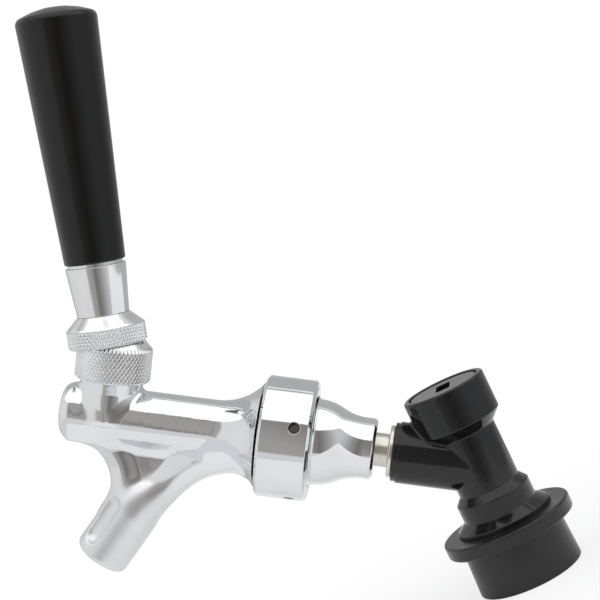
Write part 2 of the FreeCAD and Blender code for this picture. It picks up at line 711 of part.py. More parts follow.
def swept_passage(start_r, end_r):
    """A round bar along the beer passage that grows from one radius to another."""
    path, start = passage_path()
    first = Part.Wire(Part.makeCircle(start_r, start, Vector(1, 0, 0)))
    last = Part.Wire(Part.makeCircle(end_r, SPOUT_TOP, SPOUT_DIR))
    return Part.Wire([path]).makePipeShell([first, last], True, False)


def vent_centre():
    """Centre of the bend that runs tangent to the barrel's underside and the spout's front."""
    height = -(BODY_BARREL_R + VENT_BEND_R) + ARM_BURY
    reach = VENT_BEND_R + SPOUT_R - ARM_BURY
    along = SPOUT_TIP_S + (reach - (height - SPOUT_TIP_H) * SPOUT_SIDE.z) / SPOUT_SIDE.x
    return Vector(along, 0, height)


def bent_vent(radius):
    """A bent round bar along the vent arm, from the barrel's front down into the spout."""
    centre = vent_centre()
    start = centre + Vector(0, 0, VENT_BEND_R + VENT_ARM_R)
    section = Part.Face(Part.Wire(Part.makeCircle(radius, start, Vector(1, 0, 0))))
    return section.revolve(centre, Vector(0, -1, 0), 90 + SPOUT_LEAN)


def make_web():
    """The plate that joins barrel, passage arm and vent arm."""
    foot = SPOUT_TOP - SPOUT_DIR * WEB_ABOVE_SPOUT
    front = Vector(vent_centre().x - WEB_BEHIND_BEND, 0, WEB_TOP_H)
    rear = Vector(BODY_SHOULDER + PASSAGE_LEAD_IN, 0, WEB_TOP_H)
    plate = Part.Face(Part.makePolygon([rear, front, foot, rear]))
    plate.translate(Vector(0, -WEB_HALF, 0))
    return plate.extrude(Vector(0, 2 * WEB_HALF, 0))


def flare_arc():
    """The flare's hollow sweep, from the rim of the flare down to the barrel."""
    drop = FLARE_R - BODY_BARREL_R
    run = math.sqrt(FLARE_SWEEP_R ** 2 - (FLARE_SWEEP_R - drop) ** 2)
    centre = (BODY_SHOULDER + run, BODY_BARREL_R + FLARE_SWEEP_R)
    rim_turn = 180 + math.degrees(math.asin((FLARE_SWEEP_R - drop) / FLARE_SWEEP_R))
    return on_arc(centre, FLARE_SWEEP_R, (rim_turn + 270) / 2), (centre[0], BODY_BARREL_R)


def body_barrel():
    """The turned body: pilot, flare and barrel with its rounded front."""
    edge = (BODY_FRONT - BODY_FRONT_EDGE, BODY_BARREL_R - BODY_FRONT_EDGE)
    return spun_x(profile(
        (BODY_REAR, 0), (BODY_REAR, PILOT_R - EDGE_BREAK), (BODY_REAR + EDGE_BREAK, PILOT_R),
        (BODY_SHOULDER, PILOT_R), (BODY_SHOULDER, FLARE_R), flare_arc(), (edge[0], BODY_BARREL_R),
        (on_arc(edge, BODY_FRONT_EDGE, 45), (BODY_FRONT, edge[1])), (BODY_FRONT, 0),
    ))


def body_boss():
    """The cone under the bonnet and the threaded neck inside it."""
    boss = turned_z([
        (0, 0), (BOSS_ROOT_R, 0), (BOSS_TOP_R, BONNET_BOTTOM_H), (NECK_R, BONNET_BOTTOM_H),
        (NECK_R, NECK_TOP_H - EDGE_BREAK), (NECK_R - EDGE_BREAK, NECK_TOP_H), (0, NECK_TOP_H),
    ])
    boss.translate(Vector(BOSS_S, 0, 0))
    return boss


def spout_flute(side):
    """A round-ended cutter that scoops the long oval hollow beside the spout's front."""
    out = SPOUT_R - FLUTE_DEPTH + FLUTE_CUTTER_R
    end_reach = math.sqrt(FLUTE_CUTTER_R ** 2 - (out - SPOUT_R) ** 2)
    half_bar = FLUTE_LONG / 2 - end_reach
    turn = math.radians(FLUTE_TURN)
    middle = SPOUT_TIP - SPOUT_DIR * FLUTE_FROM_TIP + SPOUT_SIDE * (out * math.sin(turn))
    middle = middle + Vector(0, side * out * math.cos(turn), 0)
    low = middle + SPOUT_DIR * half_bar
    high = middle - SPOUT_DIR * half_bar
    bar = Part.makeCylinder(FLUTE_CUTTER_R, 2 * half_bar, high, SPOUT_DIR)
    return bar.fuse([Part.makeSphere(FLUTE_CUTTER_R, low), Part.makeSphere(FLUTE_CUTTER_R, high)])


def make_spout():
    """The straight end of the spout, with its rounded lip."""
    def at_tip(middle):
        return abs((middle - SPOUT_TIP).dot(SPOUT_DIR)) < 1e-3
    spout = Part.makeCylinder(SPOUT_R, SPOUT_STRAIGHT, SPOUT_TOP, SPOUT_DIR)
    return spout.makeFillet(SPOUT_TIP_EDGE, edges_near(spout, at_tip))


def body_bores():
    """Cutters for the shaft's chamber with the lever's socket, the outlet, the beer passage and the vent."""
    chamber = rod_x(BODY_REAR, SEAT_REAR, REAR_POCKET_R)
    chamber = chamber.fuse(rod_x(SEAT_REAR, SEAT_FRONT, SEAT_BORE_R))
    chamber = chamber.fuse(rod_x(SEAT_FRONT, CHAMBER_FRONT, SHAFT_LAND_R + RUNNING))
    socket = rod_z(0, BUSHING_BOTTOM_H, SOCKET_R).fuse(rod_z(BUSHING_BOTTOM_H, NECK_TOP_H, BUSHING_R))
    socket.translate(Vector(BOSS_S, 0, 0))
    outlet = Part.makeCylinder(SPOUT_OUTLET_R, SPOUT_OUTLET_DEPTH, SPOUT_TIP, SPOUT_DIR * -1)
    kept_seat = rod_x(BODY_REAR, SEAT_FRONT + PASSAGE_FROM_SEAT, FLARE_R)
    passage = swept_passage(PASSAGE_R, PASSAGE_R).cut(kept_seat)
    straight = Part.makeCylinder(PASSAGE_R, SPOUT_STRAIGHT, SPOUT_TOP, SPOUT_DIR)
    return chamber.fuse(socket), outlet, passage, straight, bent_vent(VENT_R)


def make_cast_body():
    """Barrel, boss, both arms, web and spout as one casting with its fillets."""
    def beside_boss(middle):
        return abs(middle.x - BOSS_S) < 1 and abs(abs(middle.y) - BODY_BARREL_R) < 0.5 and middle.z > 0
    body = body_barrel().fuse([body_boss(), make_spout(), swept_passage(PASSAGE_ARM_R, SPOUT_R),
                               bent_vent(VENT_ARM_R), make_web()])
    body = body.removeSplitter()
    low = (BODY_SHOULDER + 1, -2 * BODY_BARREL_R, SPOUT_TIP_H + SPOUT_STRAIGHT)
    high = (BODY_FRONT - BODY_FRONT_EDGE, 2 * BODY_BARREL_R, WEB_TOP_H)
    body = body.makeFillet(WEB_FILLET, creases(body, low, high, LEAST_CREASE))
    return body.makeFillet(BOSS_FILLET, edges_near(body, beside_boss))


def make_faucet_body():
    body = make_cast_body().cut([spout_flute(-1), spout_flute(1)])
    for bore in body_bores():
        body = body.cut(bore)
    return body.cut(tube_x(SNAP_REAR, LIP_REAR, PILOT_R + OVERCUT, PILOT_R - SNAP_GROOVE_DEPTH))


def shaft_washer_front():
    """Front face of the seat washer in the open faucet, behind its seat by the shaft's travel."""
    return SEAT_REAR - SHAFT_TRAVEL - SEAT_GAP


def make_shaft():
    stop = shaft_washer_front()
    rear = stop - SEAT_WASHER_THICK - SHAFT_NUT_THICK - SHAFT_TAIL
    land_rear = TIP_S - SHAFT_LAND_REAR
    land_front = TIP_S + SHAFT_LAND_FRONT
    groove = land_rear + SHAFT_SEAL_FROM_REAR
    groove_r = SHAFT_LAND_R - 2 * SHAFT_SEAL_WIRE_R + RUNNING
    shaft = turned_x([
        (rear, 0), (rear, SHAFT_ROD_R - EDGE_BREAK), (rear + EDGE_BREAK, SHAFT_ROD_R),
        (stop, SHAFT_ROD_R), (stop, SHAFT_STOP_R), (stop + SHAFT_STOP_LEN, SHAFT_STOP_R),
        (stop + SHAFT_STOP_LEN, SHAFT_ROD_R), (land_rear, SHAFT_ROD_R), (land_rear, SHAFT_LAND_R),
        (groove - SHAFT_SEAL_WIRE_R, SHAFT_LAND_R), (groove - SHAFT_SEAL_WIRE_R, groove_r),
        (groove + SHAFT_SEAL_WIRE_R, groove_r), (groove + SHAFT_SEAL_WIRE_R, SHAFT_LAND_R),
        (land_front, SHAFT_LAND_R), (land_front, 0),
    ])
    return shaft.cut(tip_pocket())


def tip_pocket():
    """The cutter for the hole that holds the lever's tip, flared where the lever swings."""
    grip = LEVER_TIP_R + RUNNING
    floor = -LEVER_TIP_R - TIP_POCKET_UNDER
    top = SHAFT_LAND_R + OVERCUT
    pocket = turned_z([
        (0, floor), (grip, floor), (grip, TIP_POCKET_STRAIGHT), (grip + TIP_POCKET_FLARE, top), (0, top),
    ])
    pocket.translate(Vector(TIP_S, 0, 0))
    return pocket


def make_shaft_seal():
    groove = TIP_S - SHAFT_LAND_REAR + SHAFT_SEAL_FROM_REAR
    ring_r = SHAFT_LAND_R - SHAFT_SEAL_WIRE_R + RUNNING / 2
    wire_r = SHAFT_SEAL_WIRE_R - RUNNING / 2
    return Part.makeTorus(ring_r, wire_r, Vector(groove, 0, 0), Vector(1, 0, 0))


def make_seat_washer():
    front = shaft_washer_front()
    rear = front - SEAT_WASHER_THICK
    return turned_x([
        (rear, SHAFT_ROD_R), (front, SHAFT_ROD_R), (front, SEAT_WASHER_R - SEAT_WASHER_EDGE),
        (front - SEAT_WASHER_EDGE, SEAT_WASHER_R), (rear, SEAT_WASHER_R),
    ])


def make_shaft_nut():
    front = shaft_washer_front() - SEAT_WASHER_THICK
    rear = front - SHAFT_NUT_THICK
    corner_r = SHAFT_NUT_FLATS / math.sqrt(3)
    corners = []
    for number in range(7):
        turn = math.radians(60 * number)
        corners.append(Vector(rear, corner_r * math.cos(turn), corner_r * math.sin(turn)))
    nut = Part.Face(Part.makePolygon(corners)).extrude(Vector(SHAFT_NUT_THICK, 0, 0))
    return nut.cut(rod_x(rear, front, SHAFT_ROD_R))


def ball_seat():
    """The ball's running space, a sphere about the ball's centre above the boss."""
    return Part.makeSphere(LEVER_BALL_R + RUNNING, Vector(0, 0, LEVER_BALL_H))


def make_lever_bushing():
    bushing = tube_z(BUSHING_BOTTOM_H, BUSHING_TOP_H, BUSHING_R, BUSHING_HOLE_R)
    return bushing.cut(ball_seat())


def make_ball_washer():
    washer = tube_z(BALL_WASHER_BOTTOM_H, FRICTION_WASHER_BOTTOM_H, BUSHING_R, BALL_WASHER_HOLE_R)
    return washer.cut(ball_seat())


def make_friction_washer():
    return tube_z(FRICTION_WASHER_BOTTOM_H, BONNET_ROOF_H, FRICTION_WASHER_R, FRICTION_WASHER_HOLE_R)


def make_bonnet():
    chamfer = BONNET_GRIP_BOTTOM_H - BONNET_BOTTOM_H
    centre = (0, LEVER_BALL_H)
    foot_turn = math.degrees(math.acos(BONNET_R / SHOULDER_R))
    top_turn = math.degrees(math.acos(BONNET_TOP_R / SHOULDER_R))
    shoulder = (on_arc(centre, SHOULDER_R, (foot_turn + top_turn) / 2), (BONNET_TOP_R, BONNET_TOP_H))
    return spun_z(profile(
        (NECK_R + THREAD, BONNET_BOTTOM_H), (BONNET_R - chamfer, BONNET_BOTTOM_H),
        (BONNET_R, BONNET_GRIP_BOTTOM_H), (BONNET_R, BONNET_GRIP_TOP_H), shoulder,
        (BONNET_MOUTH_R, BONNET_TOP_H), (BONNET_HOLE_R, BONNET_ROOF_H), (NECK_R + THREAD, BONNET_ROOF_H),
    ))


def make_lever():
    neck_root = math.sqrt(LEVER_BALL_R ** 2 - LEVER_NECK_R ** 2) - LEVER_ROOT
    shank_root = math.sqrt(LEVER_BALL_R ** 2 - LEVER_SHANK_R ** 2) - LEVER_ROOT
    top = turned_z([
        (0, neck_root), (LEVER_NECK_R, neck_root), (LEVER_NECK_R, HOLLOW_ROOF_L - LEVER_NECK_CONE),
        (LEVER_THREAD_R, HOLLOW_ROOF_L), (LEVER_THREAD_R, LEVER_THREAD_TOP_L - THREAD_EDGE),
        (LEVER_THREAD_R - THREAD_EDGE, LEVER_THREAD_TOP_L), (0, LEVER_THREAD_TOP_L),
    ])
    foot = Vector(0, 0, -LEVER_TIP_REACH)
    shank = Part.makeCylinder(LEVER_SHANK_R, LEVER_TIP_REACH - shank_root, foot)
    return Part.makeSphere(LEVER_BALL_R).fuse([top, shank, Part.makeSphere(LEVER_TIP_R, foot)])


def make_lever_collar():
    return turned_z([
        (HOLLOW_R, COLLAR_BOTTOM_L), (LEVER_COLLAR_R - COLLAR_EDGE, COLLAR_BOTTOM_L),
        (LEVER_COLLAR_R, COLLAR_BOTTOM_L + COLLAR_EDGE), (LEVER_COLLAR_R, GRIP_TOP_L),
        (LEVER_COLLAR_TOP_R, FERRULE_BOTTOM_L), (LEVER_THREAD_R, FERRULE_BOTTOM_L),
        (LEVER_THREAD_R, HOLLOW_ROOF_L), (HOLLOW_ROOF_R, HOLLOW_ROOF_L), (HOLLOW_R, HOLLOW_EDGE_L),
    ])


def make_ferrule():
    ferrule = turned_z([
        (0, FERRULE_BOTTOM_L), (FERRULE_BOTTOM_R - FERRULE_EDGE, FERRULE_BOTTOM_L),
        (FERRULE_BOTTOM_R, FERRULE_BOTTOM_L + FERRULE_EDGE), (FERRULE_TOP_R, FERRULE_TOP_L - FERRULE_EDGE),
        (FERRULE_TOP_R - FERRULE_EDGE, FERRULE_TOP_L), (SHADOW_RING_R, FERRULE_TOP_L),
        (SHADOW_RING_R, HANDLE_BOTTOM_L), (SPIGOT_R, HANDLE_BOTTOM_L), (SPIGOT_R, SPIGOT_TOP_L),
        (0, SPIGOT_TOP_L),
    ])
    ferrule = ferrule.cut(rod_z(FERRULE_BOTTOM_L, BOLT_BOTTOM_L, LEVER_THREAD_R))
    return ferrule.cut(rod_z(BOLT_BOTTOM_L, SPIGOT_TOP_L, HANGER_BOLT_R))


def make_hanger_bolt():
    top = BOLT_BOTTOM_L + HANGER_BOLT_LEN
    return turned_z([
        (0, BOLT_BOTTOM_L), (HANGER_BOLT_R, BOLT_BOTTOM_L), (HANGER_BOLT_R, top - HANGER_BOLT_TIP_LEN),
        (HANGER_BOLT_TIP_R, top), (0, top),
    ])


def make_handle():
    bottom = HANDLE_BOTTOM_L
    top = bottom + HANDLE_LEN
    rim = (HANDLE_TOP_R - HANDLE_RIM_R, top - HANDLE_CROWN - HANDLE_RIM_R)
    crown_r = (rim[0] ** 2 + HANDLE_CROWN ** 2) / (2 * HANDLE_CROWN)
    crown_middle = (rim[0] / 2, top - crown_r + math.sqrt(crown_r ** 2 - (rim[0] / 2) ** 2))
    handle = spun_z(profile(
        (0, bottom), (HANDLE_BOTTOM_R - HANDLE_BOTTOM_EDGE, bottom),
        (HANDLE_BOTTOM_R, bottom + HANDLE_BOTTOM_EDGE), (HANDLE_TOP_R, rim[1]),
        (on_arc(rim, HANDLE_RIM_R, 45), (rim[0], rim[1] + HANDLE_RIM_R)), (crown_middle, (0, top)),
    ))
    handle = handle.cut(rod_z(bottom, SPIGOT_TOP_L, SPIGOT_R))
    return handle.cut(rod_z(bottom, BOLT_BOTTOM_L + HANGER_BOLT_LEN, HANGER_BOLT_R))


def write(name, shape, place):
    """Put a solid in its place in the part's frame and write it."""
    shape = shape.copy()
    shape.Placement = place.multiply(shape.Placement)
    if not shape.isValid() or not shape.Solids:
        raise ValueError(name + " is not a valid solid")
    shape.exportStep("parts/" + name + ".step")
    print(name, len(shape.Solids), round(shape.Volume, 1))


def main():
    os.makedirs("parts", exist_ok=True)
    write("disconnect_body", make_disconnect_body(), POST)
    write("disconnect_cap", make_cap(), POST)
    write("cap_gasket", make_cap_gasket(), POST)
    write("poppet", make_poppet(), POST)
    write("poppet_seal", make_poppet_seal(), POST)
    write("poppet_spring", make_poppet_spring(), POST)
    write("locking_sleeve", make_locking_sleeve(), POST)
    write("sleeve_ring", make_sleeve_ring(), POST)
    write("sleeve_spring", make_sleeve_spring(), POST)
    for number in range(BALL_COUNT):
        write("locking_ball_" + str(number + 1), make_locking_ball(number), POST)
    write("disconnect_stud", make_stud(), FAUCET)
    write("flare_seal", make_flare_seal(), FAUCET)
    write("shank_adapter", make_adapter(), FAUCET)
    write("coupling_washer", make_coupling_washer(), FAUCET)
    write("coupling_nut", make_coupling_nut(), FAUCET)
    write("snap_ring", make_snap_ring(), FAUCET)
    write("faucet_body", make_faucet_body(), FAUCET)
    write("faucet_shaft", make_shaft(), FAUCET)
    write("shaft_seal", make_shaft_seal(), FAUCET)
    write("seat_washer", make_seat_washer(), FAUCET)
    write("shaft_nut", make_shaft_nut(), FAUCET)
    write("lever_bushing", make_lever_bushing(), BOSS)
    write("ball_washer", make_ball_washer(), BOSS)
    write("friction_washer", make_friction_washer(), BOSS)
    write("bonnet", make_bonnet(), BOSS)
    write("faucet_lever", make_lever(), LEVER)
    write("lever_collar", make_lever_collar(), LEVER)
    write("handle_ferrule", make_ferrule(), LEVER)
    write("hanger_bolt", make_hanger_bolt(), LEVER)
    write("tap_handle", make_handle(), LEVER)


main()
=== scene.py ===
import json
import math

import bpy
import numpy as np
from mathutils import Matrix, Vector


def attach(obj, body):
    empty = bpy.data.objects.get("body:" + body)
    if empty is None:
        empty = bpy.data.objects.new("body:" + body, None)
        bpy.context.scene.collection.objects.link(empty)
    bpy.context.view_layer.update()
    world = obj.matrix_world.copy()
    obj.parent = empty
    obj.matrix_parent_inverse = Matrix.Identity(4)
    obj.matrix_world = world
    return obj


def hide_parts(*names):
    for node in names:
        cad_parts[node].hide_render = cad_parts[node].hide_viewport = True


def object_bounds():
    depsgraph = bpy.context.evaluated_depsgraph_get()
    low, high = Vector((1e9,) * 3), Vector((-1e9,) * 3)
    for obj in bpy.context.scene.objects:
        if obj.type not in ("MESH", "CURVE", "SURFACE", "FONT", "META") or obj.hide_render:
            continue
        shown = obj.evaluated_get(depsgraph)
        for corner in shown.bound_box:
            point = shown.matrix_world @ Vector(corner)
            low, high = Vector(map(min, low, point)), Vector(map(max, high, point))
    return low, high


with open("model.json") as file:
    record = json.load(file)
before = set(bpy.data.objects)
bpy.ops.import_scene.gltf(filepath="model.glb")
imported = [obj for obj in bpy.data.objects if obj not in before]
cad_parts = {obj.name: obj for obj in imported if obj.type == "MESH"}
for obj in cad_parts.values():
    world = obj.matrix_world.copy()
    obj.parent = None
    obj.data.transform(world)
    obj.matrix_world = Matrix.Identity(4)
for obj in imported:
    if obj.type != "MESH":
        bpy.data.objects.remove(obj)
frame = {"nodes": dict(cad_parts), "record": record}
cad_low, cad_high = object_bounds()

# Looks of a beer faucet on a ball-lock keg disconnect. Outlines are in millimetres in the local
# frames of the part: the post frame, the faucet frame with X along the faucet's axis towards its
# front, the boss frame under the bonnet, and the lever frame with Z up the lever from its ball.
# A name ends in R for a radius, and in Z, H or L for a height in the post, the faucet or boss, and
# the lever frame. REAR and FRONT are places along the faucet's axis.

MM = 0.001
FAUCET_RISE = math.radians(32.1)
LEVER_LEAN = math.radians(14.75)
ARM_AXIS_Z = 39.0
BOSS_S = 117.65
LEVER_BALL_H = 13.8

# Turned pieces: how finely a full turn and a rounded corner are divided, how much of a turn a
# corner may have and still be shaded smoothly, and how far apart a relief's slopes are taken
TURN_STEPS = 192
ARC_STEP = math.radians(9)
SMOOTH_CORNER = math.radians(24)
RELIEF_NUDGE = 1e-3

# Skins: how coarsely their inside is first looked at, and how their points are drawn onto the form
COARSE_STEP = 4
CLOSE_CELLS = 2.2
DRAWING_ROUNDS = 4
LEAST_SLOPE = 0.3
FIELD_NUDGE = 0.02

# Lengths that count as none
SAME_PLACE = 1e-6
TINY = 1e-9


def shift(x, y, z):
    return Matrix.Translation((x, y, z))


POST = Matrix.Identity(4)
FAUCET = (shift(0, 0, ARM_AXIS_Z) @ Matrix.Rotation(FAUCET_RISE, 4, "Y")
          @ Matrix.Rotation(math.pi, 4, "Z"))
BOSS = FAUCET @ shift(BOSS_S, 0, 0)
LEVER = BOSS @ shift(0, 0, LEVER_BALL_H) @ Matrix.Rotation(LEVER_LEAN, 4, "Y")
AXIS = FAUCET @ Matrix.Rotation(math.pi / 2, 4, "Y")
FAUCET_ORIGIN = FAUCET.translation * MM
FAUCET_AXIS = FAUCET.to_3x3().col[0]
FAUCET_UP = FAUCET.to_3x3().col[2]


# Outlines

def unit(vector):
    return vector / np.linalg.norm(vector)


def arc(centre, start, end):
    """Points along the shorter arc about a centre, from one point to another."""
    centre, start, end = (np.array(point, float) for point in (centre, start, end))
    radius = np.linalg.norm(start - centre)
    first = math.atan2(*(start - centre)[::-1])
    sweep = math.atan2(*(end - centre)[::-1]) - first
    sweep = (sweep + math.pi) % (2 * math.pi) - math.pi
    steps = max(2, math.ceil(abs(sweep) / ARC_STEP))
    turns = first + sweep * np.arange(steps + 1) / steps
    return [tuple(centre + radius * np.array((math.cos(turn), math.sin(turn)))) for turn in turns]


def ladder(start, end, step):
    """Points along a straight run, no further apart than a step."""
    start, end = np.array(start, float), np.array(end, float)
    count = max(1, math.ceil(np.linalg.norm(end - start) / step - 1e-6))
    return [tuple(start + (end - start) * index / count) for index in range(count + 1)]


def ogee(start, end):
    """Two equal arcs that leave one (radius, height) level and reach another."""
    run, rise = end[1] - start[1], end[0] - start[0]
    radius = (run ** 2 + rise ** 2) / (4 * abs(rise))
    half = math.asin(run / 2 / radius)
    share = np.linspace(0, 1, 2 * math.ceil(half / ARC_STEP) + 2)
    side = math.copysign(1, rise)
    out, along = side * radius * (1 - np.cos(half * share)), radius * np.sin(half * share)
    low = [(start[0] + step, start[1] + lift) for step, lift in zip(out, along)]
    high = [(end[0] - step, end[1] - lift) for step, lift in zip(out, along)]
    return low + high[-2::-1]


def rounded(*corners):
    """A closed outline from (radius, height) corners. A third number rounds the corner."""
    line = []
    for index, corner in enumerate(corners):
        here = np.array(corner[:2], float)
        if len(corner) == 2:
            line.append(tuple(here))
            continue
        before = unit(np.array(corners[index - 1][:2]) - here)
        after = unit(np.array(corners[(index + 1) % len(corners)][:2]) - here)
        half = math.acos(np.clip(before @ after, -1, 1)) / 2
        run = corner[2] / math.tan(half)
        centre = here + unit(before + after) * corner[2] / math.sin(half)
        line.extend(arc(centre, here + before * run, here + after * run))
    return line


# Meshes

def mesh_piece(name, made, place, body, replaced, material):
    """A piece from points in mm, its faces and the normal at each corner of each face."""
    points, faces, normals = made
    turn = np.array(place.to_3x3())
    world = (np.asarray(points) @ turn.T + np.array(place.translation)) * MM
    mesh = bpy.data.meshes.new(name)
    mesh.from_pydata(world.tolist(), [], faces)
    mesh.polygons.foreach_set("use_smooth", [True] * len(mesh.polygons))
    mesh.normals_split_custom_set((np.asarray(normals) @ turn.T).tolist())
    mesh.materials.append(material)
    piece = bpy.data.objects.new(name, mesh)
    bpy.context.scene.collection.objects.link(piece)
    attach(piece, body)
    for node in replaced:
        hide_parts(node)


def joined(*parts):
    """Several lots of points, faces and corner normals as one."""
    points, faces, normals = [], [], []
    for part_points, part_faces, part_normals in parts:
        start = len(points)
        points.extend(np.asarray(part_points).tolist())
        faces.extend([start + corner for corner in face] for face in part_faces)
        normals.extend(np.asarray(part_normals).tolist())
    return points, faces, normals


def lofted(rings, keep=None):
    """Quads between rings of (points, normals before, normals after), which may shrink to points."""
    points, faces, normals = [], [], []
    rows = []
    for ring, _, _ in rings:
        first = len(points)
        if np.ptp(ring, axis=0).max() < SAME_PLACE:
            points.append(ring[0])
            rows.append([first] * len(ring))
        else:
            points.extend(ring)
            rows.append(range(first, first + len(ring)))
    for index in range(len(rings) - 1):
        low, high = rings[index][2], rings[index + 1][1]
        shrunk = [len(set(rows[index])) == 1, len(set(rows[index + 1])) == 1]
        if all(shrunk):
            continue
        count = len(rings[index][0])
        for step in range(count):
            after = (step + 1) % count
            if keep and not keep(index, step):
                continue
            corners = [(rows[index][step], low[step]), (rows[index][after], low[after]),
                       (rows[index + 1][after], high[after]), (rows[index + 1][step], high[step])]
            if shrunk[0]:
                corners.pop(1)
            if shrunk[1]:
                corners.pop(2)
            faces.append([corner for corner, _ in corners])
            normals.extend(normal for _, normal in corners)
    return points, faces, normals


def tidy_outline(outline):
    """The outline's points without repeats, in the order that puts its outside on the right."""
    line = np.array(outline, float)
    line = line[np.linalg.norm(line - np.roll(line, 1, axis=0), axis=1) > SAME_PLACE]
    ahead = np.roll(line, -1, axis=0)
    area = np.sum(line[:, 0] * ahead[:, 1] - ahead[:, 0] * line[:, 1])
    return line if area > 0 else line[::-1]


def corner_normals(line):
    """The normals that the stretches before and after each outline point have there."""
    run = np.roll(line, -1, axis=0) - line
    length = np.linalg.norm(run, axis=1, keepdims=True)
    after = np.column_stack((run[:, 1], -run[:, 0])) / length
    before, shorter = np.roll(after, 1, axis=0), np.roll(length, 1, axis=0)
    shared = before * shorter ** 2 + after * length ** 2
    shared /= np.maximum(np.linalg.norm(shared, axis=1, keepdims=True), TINY)
    smooth = (before * after).sum(axis=1, keepdims=True) > math.cos(SMOOTH_CORNER)
    return np.where(smooth, shared, before), np.where(smooth, shared, after)


def around(normal, angle, tilt=(0.0, 0.0)):
    """An outline's normal turned to each angle, tilted by a relief's slopes around and along."""
    outward = np.full(len(angle), normal[0])
    sideways = -tilt[0] * outward
    upward = normal[1] - tilt[1] * outward
    size = np.sqrt(outward ** 2 + sideways ** 2 + upward ** 2)
    cos, sin = np.cos(angle), np.sin(angle)
    spun = (outward * cos - sideways * sin, outward * sin + sideways * cos, upward)
    return np.column_stack(spun) / size[:, None]


def turned(outline, relief=None, steps=TURN_STEPS, phase=0.0, keep=None):
    """A solid turned about Z from a closed (radius, height) outline, with an optional relief.

    The relief says how far the surface stands out at an angle, radius and height, less than zero
    where it is cut in. Faces that keep turns down are left out.
    """
    line = tidy_outline(outline)
    before, after = corner_normals(line)
    angle = phase + 2 * math.pi * np.arange(steps) / steps
    rings = []
    for (radius, height), ends, starts in zip(line, before, after):
        depth, tilt = np.zeros(steps), (0.0, 0.0)
        if relief and radius > SAME_PLACE:
            nudge = RELIEF_NUDGE
            depth = relief(angle, radius, height)
            by_turn = relief(angle + nudge, radius, height) - relief(angle - nudge, radius, height)
            by_rise = relief(angle, radius, height + nudge) - relief(angle, radius, height - nudge)
            tilt = (by_turn / (2 * nudge * radius), by_rise / (2 * nudge))
        out = radius + depth
        ring = np.column_stack((out * np.cos(angle), out * np.sin(angle), np.full(steps, height)))
        rings.append((ring, around(ends, angle, tilt), around(starts, angle, tilt)))
    middles = None
    if keep:
        heights = (line[:, 1] + np.roll(line[:, 1], -1)) / 2
        radii = (line[:, 0] + np.roll(line[:, 0], -1)) / 2
        turns = angle + math.pi / steps

        def middles(index, step):
            return keep(turns[step], radii[index], heights[index])
    return lofted(rings + rings[:1], middles)


# Skins over distance fields, for the castings and the moulded cap

def join_round(first, second, radius):
    """Two forms joined, with a fillet in the crease."""
    left, right = np.maximum(radius - first, 0), np.maximum(radius - second, 0)
    return np.maximum(radius, np.minimum(first, second)) - np.hypot(left, right)


def cut_round(form, cutter, radius):
    """A form less a cutter, with the edge rounded over."""
    left, right = np.maximum(radius + form, 0), np.maximum(radius - cutter, 0)
    return np.minimum(-radius, np.maximum(form, -cutter)) + np.hypot(left, right)


def round_corner(first, second):
    """How far outside a corner points are, given how far past each of its two sides they are."""
    past = np.hypot(np.maximum(first, 0), np.maximum(second, 0))
    return np.minimum(np.maximum(first, second), 0) + past


def slope(field, points):
    """A field's gradient at each point, and its size."""
    step = np.eye(3) * FIELD_NUDGE
    rise = [field(points + step[axis]) - field(points - step[axis]) for axis in range(3)]
    grown = np.column_stack(rise) / (2 * FIELD_NUDGE)
    return grown, np.linalg.norm(grown, axis=1, keepdims=True)


def filled(field, axes, cell):
    """Which points of a grid lie inside a field, worked out closely only near its surface."""
    rough = [axis[::COARSE_STEP] for axis in axes]
    points = np.stack(np.meshgrid(*rough, indexing="ij"), axis=-1).reshape(-1, 3)
    away = field(points).reshape([len(axis) for axis in rough])
    for axis in range(3):
        away = np.repeat(away, COARSE_STEP, axis=axis)
    away = away[tuple(slice(0, len(axis)) for axis in axes)]
    inside = away < 0
    close = np.argwhere(np.abs(away) < CLOSE_CELLS * COARSE_STEP * cell)
    points = np.column_stack([axis[index] for axis, index in zip(axes, close.T)])
    inside[tuple(close.T)] = field(points) < 0
    return inside


def skin(field, low, high, cell):
    """The surface where a field is zero, by surface nets drawn onto the field."""
    counts = [math.ceil((top - bottom) / cell) + 1 for bottom, top in zip(low, high)]
    axes = [bottom + cell * np.arange(count) for bottom, count in zip(low, counts)]
    inside = filled(field, axes, cell)
    corners = np.zeros([count - 1 for count in counts], np.int8)
    for offset in np.ndindex(2, 2, 2):
        corners += inside[tuple(slice(o, count - 1 + o) for o, count in zip(offset, counts))]
    crossed = (corners > 0) & (corners < 8)
    number = np.full(crossed.shape, -1)
    places = np.argwhere(crossed)
    number[crossed] = np.arange(len(places))
    points = np.array(low) + cell * (places + 0.5)
    for _ in range(DRAWING_ROUNDS):
        grown, size = slope(field, points)
        reach = field(points)[:, None] * grown / np.maximum(size, LEAST_SLOPE) ** 2
        points = points - np.clip(reach, -cell / 2, cell / 2)
    grown, size = slope(field, points)
    normal = grown / np.maximum(size, TINY)
    faces = []
    for axis in range(3):
        others = [(axis + 1) % 3, (axis + 2) % 3]
        here = [slice(1, count - 1) for count in counts]
        there = list(here)
        here[axis], there[axis] = slice(0, counts[axis] - 1), slice(1, counts[axis])
        start, end = inside[tuple(here)], inside[tuple(there)]
        for leaving, order in ((start & ~end, (0, 1, 2, 3)), (end & ~start, (3, 2, 1, 0))):
            edge = np.argwhere(leaving)
            edge[:, others] += 1
            ring = []
            for first, second in ((0, 0), (-1, 0), (-1, -1), (0, -1)):
                beside = edge.copy()
                beside[:, others[0]] += first
                beside[:, others[1]] += second
                ring.append(number[tuple(beside.T)])
            faces.append(np.column_stack([ring[index] for index in order]))
    faces = np.vstack(faces)
    faces = faces[(faces >= 0).all(axis=1)]
    return points, faces.tolist(), normal[faces.ravel()]


# Camera

